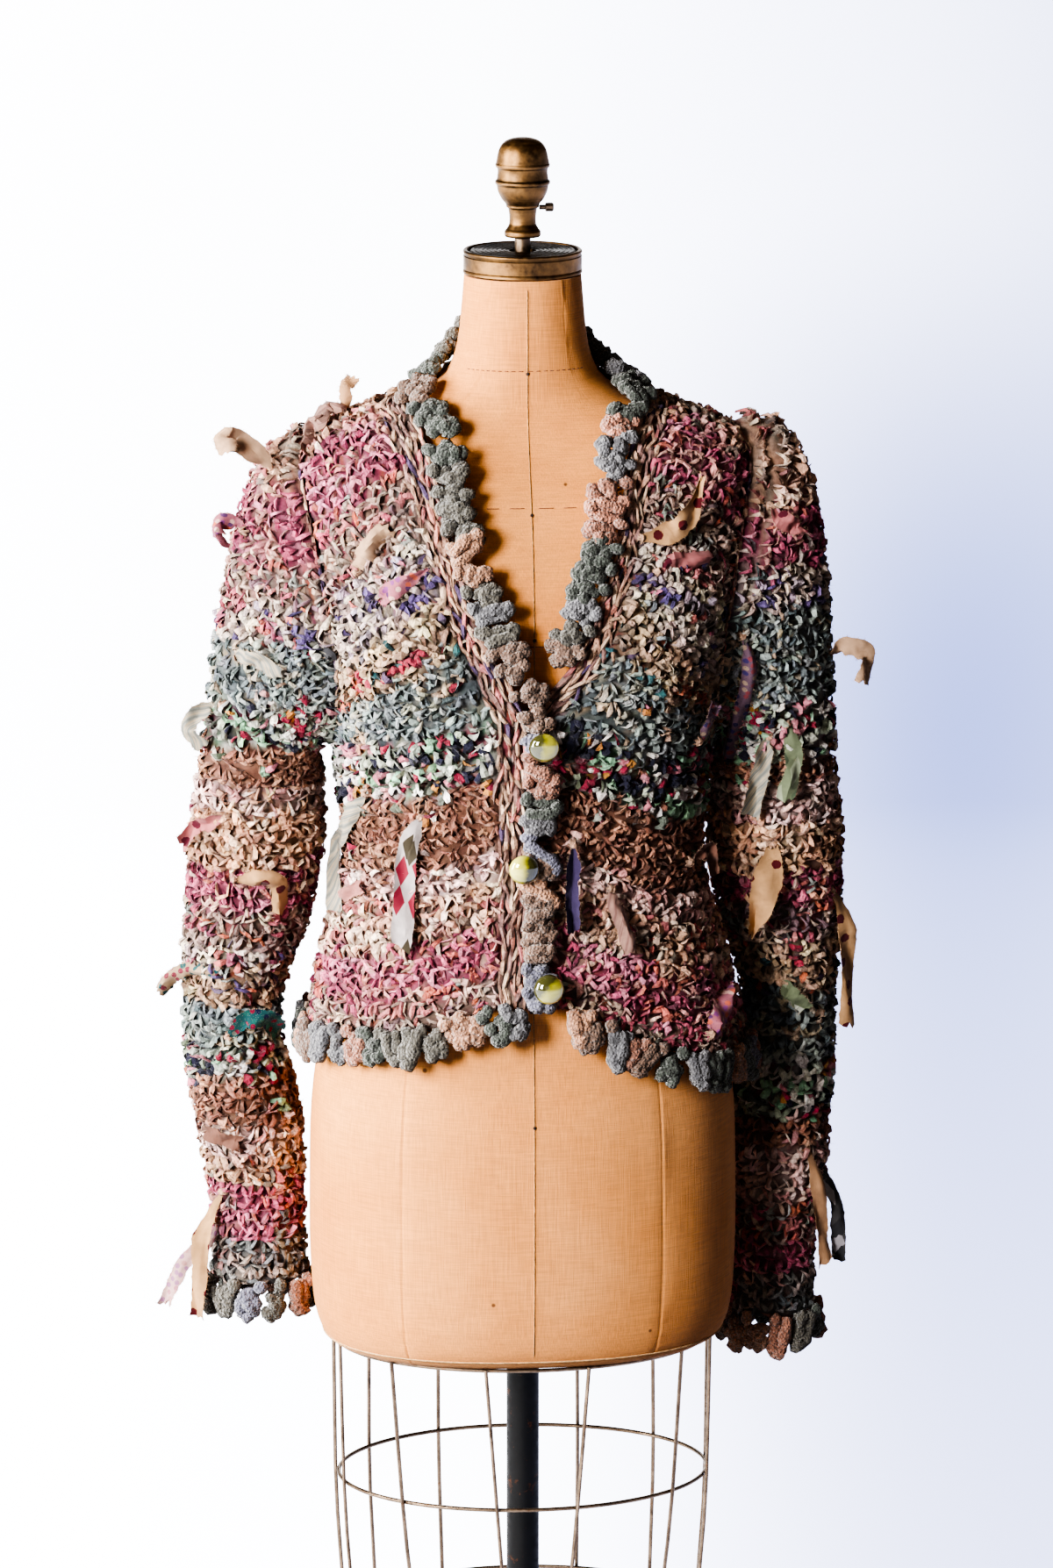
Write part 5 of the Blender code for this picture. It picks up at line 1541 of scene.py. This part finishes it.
# Name: the ground's colour, the marks' colours and the kind of print
PRINT_ROWS = {
    "tan_dots": ((216, 172, 128), ((104, 36, 42),), "dots"),
    "pink_dots": ((212, 136, 136), ((112, 44, 60),), "dots"),
    "ticking": ((212, 196, 172), ((132, 138, 138), (166, 168, 160)), "ticking"),
    "rosy_ticking": ((196, 156, 142), ((150, 112, 106), (176, 140, 130)), "ticking"),
    "leaves": ((204, 194, 194), ((156, 54, 72), (74, 66, 52), (92, 84, 70)), "leaves"),
    "grey_leaves": ((96, 94, 96), ((188, 184, 192), (206, 202, 208), (70, 70, 74)), "leaves"),
    "pale_flowers": ((226, 190, 186), ((196, 140, 152), (178, 132, 166), (210, 162, 160)), "print"),
    "green": ((146, 158, 128), ((214, 218, 204), (112, 128, 104), (176, 186, 160)), "leaves"),
    "teal": ((52, 112, 116), ((40, 50, 92), (170, 52, 84), (60, 134, 128), (150, 160, 150)), "print"),
    "teal_marks": (
        (208, 180, 152), ((44, 96, 104), (60, 110, 112), (150, 70, 86), (196, 170, 140)), "print",
    ),
    "pink_print": (
        (206, 132, 146), ((222, 120, 96), (166, 96, 160), (232, 190, 180), (120, 80, 128)), "print",
    ),
    "purple_print": (
        (150, 120, 140), ((92, 78, 140), (196, 170, 150), (178, 96, 104), (72, 60, 104)), "print",
    ),
    "plain_tan": ((206, 162, 126), (), "plain"),
    "plain_cream": ((218, 182, 152), (), "plain"),
    "plain_pink": ((206, 144, 136), (), "plain"),
    "plain_brown": ((142, 102, 88), (), "plain"),
    "plain_purple": ((86, 74, 112), (), "plain"),
    "plain_dark": ((76, 76, 80), (), "plain"),
}
PRINTS = {name: print_finish(name, *row) for name, row in PRINT_ROWS.items()}

# Strip: the panel it is tied to, its print, its width, and stations of across, height and lift
STRIPS = {
    "shoulder_curl": ("sleeve_right", "plain_cream", 18, (
        (-204, 1342, -0.6), (-214, 1354, 9), (-226, 1358, 16), (-224, 1346, 20),
    )),
    "shoulder_leaf": ("body", "rosy_ticking", 13, (
        (-136, 1388, 0.9), (-150, 1377, 8), (-162, 1362, 11), (-169, 1349, 9),
    )),
    "chest_fold": ("body", "plain_cream", 16, ((-136, 1266, 0.9), (-123, 1285, 10), (-108, 1300, 7))),
    "upper_arm_loop": ("sleeve_right", "ticking", 12, (
        (-237, 1148, 0.9), (-250, 1143, 7), (-258, 1130, 9), (-246, 1117, 12),
    )),
    "elbow_dots": ("sleeve_right", "tan_dots", 14, (
        (-228, 1006, 0.9), (-210, 1012, 7), (-194, 1004, 9), (-192, 977, 6),
    )),
    "waist_ticking": ("body", "ticking", 14, (
        (-126, 1084, 1.3), (-136, 1064, 7), (-141, 1030, 9), (-145, 984, 9),
    )),
    "waist_leaves": ("body", "leaves", 17, (
        (-84, 1076, 0.9), (-95, 1048, 7), (-97, 1010, 8), (-100, 970, 10),
    )),
    "forearm_teal": ("sleeve_right", "teal", 15, (
        (-233, 874, 0.9), (-220, 892, 9), (-206, 891, 10), (-197, 871, 7),
    )),
    "wrist_dots": ("sleeve_right", "tan_dots", 14, (
        (-238, 742, 1.2), (-251, 708, 12), (-254, 674, 10), (-255, 640, 12),
    )),
    "wrist_print": ("sleeve_right", "pale_flowers", 12, (
        (-252, 716, 1.4), (-270, 684, 2.2), (-286, 649, 1),
    )),
    "chest_dots": ("body", "tan_dots", 17, (
        (82, 1292, 0.9), (104, 1293, 9), (119, 1306, 14), (127, 1331, 19),
    )),
    "side_print": ("sleeve_left", "purple_print", 11, (
        (166, 1209, 0.7), (171, 1176, 8), (166, 1136, 9), (162, 1098, 10),
    )),
    "upper_arm_roll": ("sleeve_left", "plain_cream", 15, (
        (238, 1180, 0.7), (250, 1188, 8), (263, 1179, 10), (258, 1158, 13),
    )),
    "elbow_green": ("sleeve_left", "green", 14, ((205, 1129, 0.9), (209, 1100, 7), (203, 1070, 9))),
    "elbow_dots_large": ("sleeve_left", "tan_dots", 23, (
        (196, 1031, 0.6), (193, 1006, 10), (189, 981, 15), (184, 955, 19),
    )),
    "forearm_dots": ("sleeve_left", "tan_dots", 15, (
        (246, 986, 0.9), (256, 949, 7), (257, 910, 8), (258, 868, 9),
    )),
    "wrist_tan": ("sleeve_left", "plain_tan", 11, (
        (229, 770, 0.9), (236, 738, 9), (238, 704, 11), (240, 671, 13),
    )),
    "wrist_leaves": ("sleeve_left", "grey_leaves", 12, ((246, 752, 0.9), (256, 716, 3), (257, 670, 1))),
    "seam_tan": ("body", "plain_tan", 11, ((-145, 1387, 1), (-138, 1394, 5), (-132, 1398, 8))),
    "arm_pink": ("sleeve_right", "pink_print", 15, (
        (-220, 1288, 1), (-231, 1294, 6), (-237, 1285, 9), (-229, 1273, 9),
    )),
    "chest_orange": ("body", "pink_print", 14, ((-119, 1245, 1), (-103, 1257, 7), (-80, 1271, 8))),
    "chest_knot": ("body", "plain_dark", 11, ((-176, 1212, 1), (-164, 1204, 6), (-149, 1197, 8))),
    "arm_grey": ("sleeve_right", "ticking", 11, ((-226, 1189, 1), (-211, 1192, 6), (-192, 1181, 8))),
    "arm_pinktan": ("sleeve_right", "pink_dots", 11, ((-233, 1058, 1), (-251, 1051, 5), (-266, 1033, 6))),
    "waist_pink": ("body", "plain_pink", 10, ((-151, 975, 1), (-142, 995, 6), (-127, 1011, 8))),
    "arm_tuft": ("sleeve_right", "teal_marks", 11, (
        (-240, 930, 1), (-259, 928, 5), (-275, 922, 5), (-287, 910, 3),
    )),
    "wrist_brown": ("sleeve_right", "plain_brown", 12, ((-257, 794, 1), (-240, 792, 6), (-224, 788, 8))),
    "chest_coral": ("body", "pink_dots", 14, ((93, 1266, 1), (113, 1272, 7), (138, 1270, 8))),
    "arm_bow": ("sleeve_left", "pink_dots", 14, ((188, 1302, 1), (201, 1290, 7), (215, 1283, 8))),
    "bust_print": ("body", "purple_print", 10, ((131, 1123, 1), (137, 1143, 6), (141, 1157, 7))),
    "elbow_ticking": ("sleeve_left", "ticking", 14, ((189, 1121, 1), (185, 1094, 6), (179, 1057, 7))),
    "waist_knot": ("body", "plain_brown", 10, ((126, 1028, 1), (135, 1037, 6), (139, 1011, 8))),
    "front_pink": ("body", "rosy_ticking", 11, ((57, 1018, 1), (66, 995, 6), (75, 967, 8))),
    "hip_floral": ("body", "pink_print", 18, ((139, 887, 2), (151, 908, 6), (161, 924, 7))),
    "arm_green": ("sleeve_left", "green", 12, ((207, 911, 1), (216, 900, 6), (225, 889, 7))),
    "band_purple": ("body", "plain_purple", 10, ((31, 1056, 2), (28, 1021, 4), (29, 986, 3))),
}
STRIP_THICK, STRIP_RINGS, STRIP_COLUMNS = 0.5, 30, 7
LEAF_SHAPED = (
    "shoulder_leaf", "chest_dots", "elbow_dots_large", "arm_pink", "chest_orange", "hip_floral", "arm_bow",
)
KNOT_TURNS, KNOT_COLOUR, FRAY_COLOUR = np.array([0.3, 1.5, 2.6]), (196, 158, 134), (204, 176, 152)
# Length, width, height and thickness
KNOT_SIZES = (9.0, 4.0, 3.4, 2.4)


def skin(piece):
    """Points and normals over the front half of a piece's outer face, close together."""
    if piece == "body":
        angle, height = np.meshgrid(np.arange(-95, 96, 2.5), np.arange(890, 1392, 6.0))
        return cloth(angle, height, WALL + lap(angle, height)), figure_normal(angle, height)
    side = RIGHT if piece == "sleeve_right" else LEFT
    turn, t = np.meshgrid(np.arange(30, 151, 4.0), np.arange(0.02, 2.0, 0.02))
    return sleeve_panel(side)(turn, t, WALL)


SKINS = {piece: skin(piece) for piece in ("body", "sleeve_right", "sleeve_left")}
frayed_edges = Heap()
strip_knots = Heap()


def make_strip(name, piece, print_name, width, stations, seed):
    """A torn strip of cotton from its knot outward, with curled, uneven edges."""
    rng = np.random.default_rng(seed)
    rows = [(number, *station) for number, station in enumerate(stations)]
    rings, columns = STRIP_RINGS, STRIP_COLUMNS
    at = np.linspace(0, len(rows) - 1, rings)
    across, height, lift = (column(rows, index, at) for index in (1, 2, 3))
    points, normals = (v.reshape(-1, 3) for v in SKINS[piece])
    gap = (points[:, 0, None] - across) ** 2 + (points[:, 2, None] - height) ** 2
    nearest = gap.argmin(axis=0)
    forward = np.clip(at, 0, 1)[:, None] * np.array([0.0, -1.0, 0.0])
    face = unit(normals[nearest] + forward)
    asked = np.stack([across, points[nearest][:, 1], height], axis=1)
    tied = np.clip(1 - at, 0, 1)[:, None]
    path = points[nearest] * tied + asked * (1 - tied) + face * lift[:, None]
    for _ in range(2):
        path[1:-1] = (path[:-2] + 2 * path[1:-1] + path[2:]) / 4
    ahead = unit(np.gradient(path, axis=0))
    wide = unit(np.cross(ahead, face))
    thick = unit(np.cross(wide, ahead))
    share = np.linspace(0, 1, rings)
    v = np.linspace(-1, 1, columns)
    half = width / 2 * (0.35 + 0.65 * smooth(share / 0.3)) * (1 + 0.06 * np.sin(share * 17 + seed))
    if name in LEAF_SHAPED:
        half = half * (1 - 0.82 * smooth((share - 0.55) / 0.45))
    ragged = rng.normal(0, 0.35, (rings, 2))
    across_at = half[:, None] * v
    across_at[:, 0] += ragged[:, 0]
    across_at[:, -1] += ragged[:, 1]
    cup = (0.32 * width * rng.uniform(0.5, 1.2)) * (share[:, None] ** 0.7) * (v**2) * rng.choice([-1, 1])
    ripple = np.sin(share[:, None] * rng.uniform(7, 12) + v * 2.0 + rng.uniform(0, 6))
    wave = 0.14 * width * ripple * np.minimum(share[:, None] * 3, 1)
    loose = np.minimum(share[:, None] * 4, 1)
    crease = 0.24 * width * rng.choice([-1, 1]) * np.abs(v - rng.uniform(-0.3, 0.3)) * loose
    crumple = rng.normal(0, 0.32, (rings, columns)) * loose
    torn = v * rng.uniform(-0.6, 0.6) * width / 2 + rng.normal(0, 1.3, columns)
    slant = torn * share[:, None] ** 8
    rise = cup + wave + crease + crumple
    middle = path[:, None] + wide[:, None] * across_at[..., None] + thick[:, None] * rise[..., None]
    middle = middle + ahead[:, None] * slant[..., None]
    depth = thick[:, None] * STRIP_THICK / 2
    walls = np.concatenate([(middle - depth).reshape(-1, 3), (middle + depth).reshape(-1, 3)])
    length = lengths(path)
    uv = np.stack([across_at / 10, (length[:, None] + slant) / 10], axis=-1).reshape(-1, 2)
    uv = uv + rng.uniform(0, 40, 2)
    # Painted shade: the strip is darker near its knot, where it lies down on the crochet
    tint = 0.72 * (0.78 + 0.22 * smooth(share / 0.25))[:, None, None] * np.ones((rings, columns, 3))
    tint = (tint * rng.uniform(0.93, 1.05, (rings, columns, 1))).reshape(-1, 3)
    made = add_piece(
        f"ribbon_{name}", walls, shell_faces(rings, columns), PRINTS[print_name],
        np.tile(tint, (2, 1)), np.tile(uv, (2, 1)), True,
    )
    made.data.set_sharp_from_angle(angle=math.radians(42))
    if f"strip_{name}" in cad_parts:
        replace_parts(made, f"strip_{name}")
    for edge, sign in ((0, -1.0), (-1, 1.0)):
        root = np.repeat(middle[:, edge], 2, axis=0)
        out = np.repeat(wide * sign, 2, axis=0) + rng.normal(0, 0.5, root.shape)
        fine, tones = rng.uniform(1.0, 3.2, len(root)), np.tile(linear(FRAY_COLOUR), (len(root), 1))
        add_fibres(frayed_edges, rng, root, out, fine, tones, 0.14)
    count = len(KNOT_TURNS)
    seat, out, along, side = (np.repeat(line[:1], count, axis=0) for line in (path, face, ahead, wide))
    lie, cross = turned_pair(along, side, KNOT_TURNS)
    sizes = [np.full(count, size) for size in KNOT_SIZES]
    add_rags(strip_knots, rng, seat, lie, cross, out, sizes, np.tile(linear(KNOT_COLOUR), (count, 1)))


for number, (name, row) in enumerate(STRIPS.items()):
    make_strip(name, *row, 100 + number)
frayed_edges.piece("ribbon_fray", FIBRE, "rag_strip")
strip_knots.piece("ribbon_knots", RAG, "rag_strip")

# Buttons

# Name, angle, height, how far the button is sunk, and the turn of its swirl
BUTTONS = (
    ("button_top", 1.5, 1141.0, 0.0, -0.15),
    ("button_middle", -2.6, 1041.0, 0.2, 3.0),
    ("button_bottom", 2.2, 941.0, -0.7, -0.7),
)
BUTTON_RADIUS, BUTTON_DOME, BUTTON_THICK = 11.6, 8.0, 3.0
# Half thickness of the solids' six-sided frill, which the buttons sit on
FRILL_THICK = 8.5
BUTTON_LIFT = LAP_LIFT + FRILL_THICK * (1 + math.sin(math.radians(60))) - 2 * SEAM


def glass_finish():
    """Swirled glass: the UV's first number runs across the button, from the light to the olive half."""
    made, tree, shader = new_finish(
        "swirled_glass", Roughness=0.04, Coat_Weight=1.0, Coat_Roughness=0.02,
        Transmission_Weight=0.25, IOR=1.5,
    )
    uv = node(tree, "TexCoord").outputs["UV"]
    swirl = noise(tree, uv, 2.2, 2.0)
    across = node(tree, "SeparateXYZ", {0: uv}).outputs[0]
    split = compute(tree, "MULTIPLY_ADD", swirl, 0.35, across)
    stops = ((0.54, (84, 84, 48)), (0.60, (140, 138, 52)), (0.70, (188, 184, 70)), (1.0, (228, 224, 120)))
    tree.links.new(ramp(tree, split, stops), shader.inputs["Base Color"])
    return made


GLASS = glass_finish()


def make_buttons():
    steps = 48
    rise = np.radians(np.linspace(0, 90, 16))
    dome = np.stack([BUTTON_RADIUS * np.cos(rise), BUTTON_THICK + BUTTON_DOME * np.sin(rise)], axis=1)[:-1]
    under = np.array([(BUTTON_RADIUS - 4.0, 0.0), (BUTTON_RADIUS - 2.0, 0.4), (BUTTON_RADIUS - 0.5, 1.6)])
    profile = np.concatenate([under, dome])
    turn = np.linspace(0, 2 * np.pi, steps + 1)[:-1]
    for name, angle, height, sink, roll in BUTTONS:
        out = figure_normal(angle, height)
        side = unit(np.cross((0.0, 0.0, 1.0), out))
        up = np.cross(out, side)
        seat = cloth(np.array(angle), np.array(height), np.array(BUTTON_LIFT - sink))
        flat = np.stack([profile[:, :1] * np.cos(turn), profile[:, :1] * np.sin(turn)], axis=-1)
        points = seat + side * flat[..., :1] + up * flat[..., 1:] + out * profile[:, 1, None, None]
        ends = [seat, seat + out * (BUTTON_THICK + BUTTON_DOME)]
        across = (flat[..., 0] * math.cos(roll) + flat[..., 1] * math.sin(roll)) / BUTTON_RADIUS / 2 + 0.5
        uv = np.stack([across.ravel(), flat[..., 1].ravel() / BUTTON_RADIUS], axis=1)
        uv = np.concatenate([uv, [(0.5, 0.0), (0.5, 0.0)]])
        faces = [grid_quads(len(points), steps, True), end_fans(len(points), steps)]
        points = np.concatenate([points.reshape(-1, 3), ends])
        own_name = name.replace("button", "glass_button")
        made = add_piece(own_name, points, faces, GLASS, uv=uv, is_smooth=True)
        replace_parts(made, name)


make_buttons()

# Floor, background and lights

# The backdrop glows by how far a place lies to the side, as a share of how far it lies ahead of the
# photograph's viewpoint, with one bluish shade on the right
EYE_BACK, NEAREST, VIEW_HALF, GLOW = 4.77, 3.0, 0.09, 3.2
GLOW_STOPS = ((0.0, (250, 251, 254)), (0.45, (236, 238, 246)), (0.7, (208, 211, 228)), (1.0, (172, 177, 202)))
SHADE_SIDE, SHADE_AHEAD, SHADE_SCALE = 0.072, 9.6, (20.0, 0.24, 1.0)
SHADE_REACH, SHADE_MOST, SHADE_COLOUR = 1.7, 0.9, (92, 106, 158)
STAGE_SIDES, STAGE_REACH, STAGE_HEIGHT = 96, 70.0, 45.0
FLOOR_COLOUR, WORLD_COLOUR, WORLD_STRENGTH = (0.12, 0.12, 0.13, 1.0), (255, 222, 196), 0.068
# Name, place, the point it shines at, width and height, watts and colour
LIGHTS = (
    ("window", (-3.25, -0.6, 1.9), (0.0, 0.0, 1.05), (1.2, 2.2), 190.0, (1.0, 0.98, 0.95)),
    ("front", (-2.62, -2.85, 2.3), (0.0, 0.0, 1.05), (1.1, 1.5), 272.0, (1.0, 0.97, 0.94)),
    ("fill", (-0.4, -4.5, 1.9), (0.0, 0.0, 1.05), (2.0, 2.0), 11.0, (1.0, 0.93, 0.86)),
    ("side", (2.8, 0.9, 1.5), (0.0, 0.0, 1.0), (1.4, 2.2), 3.0, (0.85, 0.9, 1.0)),
    ("behind", (0.3, 4.2, 1.7), (0.0, 0.0, 1.05), (3.0, 2.2), 80.0, (0.95, 0.97, 1.0)),
)


def make_stage():
    made, tree, shader = new_finish("pale_floor", Roughness=0.9)
    shader.inputs["Base Color"].default_value = FLOOR_COLOUR
    place = own_place(tree)
    seen = mapped(tree, place, turn=-CAMERA_TURN, move=(0, EYE_BACK, 0))
    aside, along = node(tree, "SeparateXYZ", {0: seen}).outputs[:2]
    slope = compute(tree, "DIVIDE", aside, compute(tree, "MAXIMUM", along, NEAREST))
    glow = ramp(tree, grey(tree, slope, -VIEW_HALF, VIEW_HALF, 0.0, 1.0), GLOW_STOPS)
    off_x, off_y = compute(tree, "SUBTRACT", slope, SHADE_SIDE), compute(tree, "SUBTRACT", along, SHADE_AHEAD)
    spot = mapped(tree, node(tree, "CombineXYZ", {0: off_x, 1: off_y}).outputs[0], SHADE_SCALE)
    far = node(tree, "VectorMath", {0: spot}, operation="LENGTH").outputs["Value"]
    sockets = {0: far, 1: 0.0, 2: SHADE_REACH, 3: SHADE_MOST, 4: 0.0}
    fade = node(tree, "MapRange", sockets, interpolation_type="SMOOTHSTEP").outputs[0]
    glow = mix(tree, fade, glow, rgba(SHADE_COLOUR))
    tree.links.new(glow, shader.inputs["Emission Color"])
    shader.inputs["Emission Strength"].default_value = GLOW
    steps, reach = STAGE_SIDES, STAGE_REACH
    turn = np.linspace(0, 2 * np.pi, steps + 1)[:-1]
    rims = [(reach * math.cos(a), reach * math.sin(a), z) for z in (0.0, STAGE_HEIGHT) for a in turn]
    walls = [(i, i + steps, (i + 1) % steps + steps, (i + 1) % steps) for i in range(steps)]
    for name, points, faces in (("floor", rims[:steps], [tuple(range(steps))]), ("backdrop", rims, walls)):
        mesh = bpy.data.meshes.new(name)
        mesh.from_pydata(points, [], faces)
        mesh.materials.append(made)
        sheet = new_object(name, mesh)
        sheet.visible_diffuse = False
        sheet.visible_glossy = name == "floor"
    bpy.context.scene.view_settings.view_transform = "AgX"
    bpy.context.scene.view_settings.look = "AgX - Very High Contrast"
    world = bpy.data.worlds.new("studio")
    bpy.context.scene.world = world
    world.use_nodes = True
    background = world.node_tree.nodes["Background"]
    background.inputs["Color"].default_value = rgba(WORLD_COLOUR)
    background.inputs["Strength"].default_value = WORLD_STRENGTH


def add_light(name, place, look, size, power, colour):
    data = bpy.data.lights.new(name, "AREA")
    data.shape = "RECTANGLE"
    data.size, data.size_y = size
    data.energy = power
    data.color = colour
    light = new_object(name, data)
    light.location = place
    light.rotation_euler = (Vector(look) - Vector(place)).to_track_quat("-Z", "Y").to_euler()


make_stage()
for row in LIGHTS:
    add_light(*row)
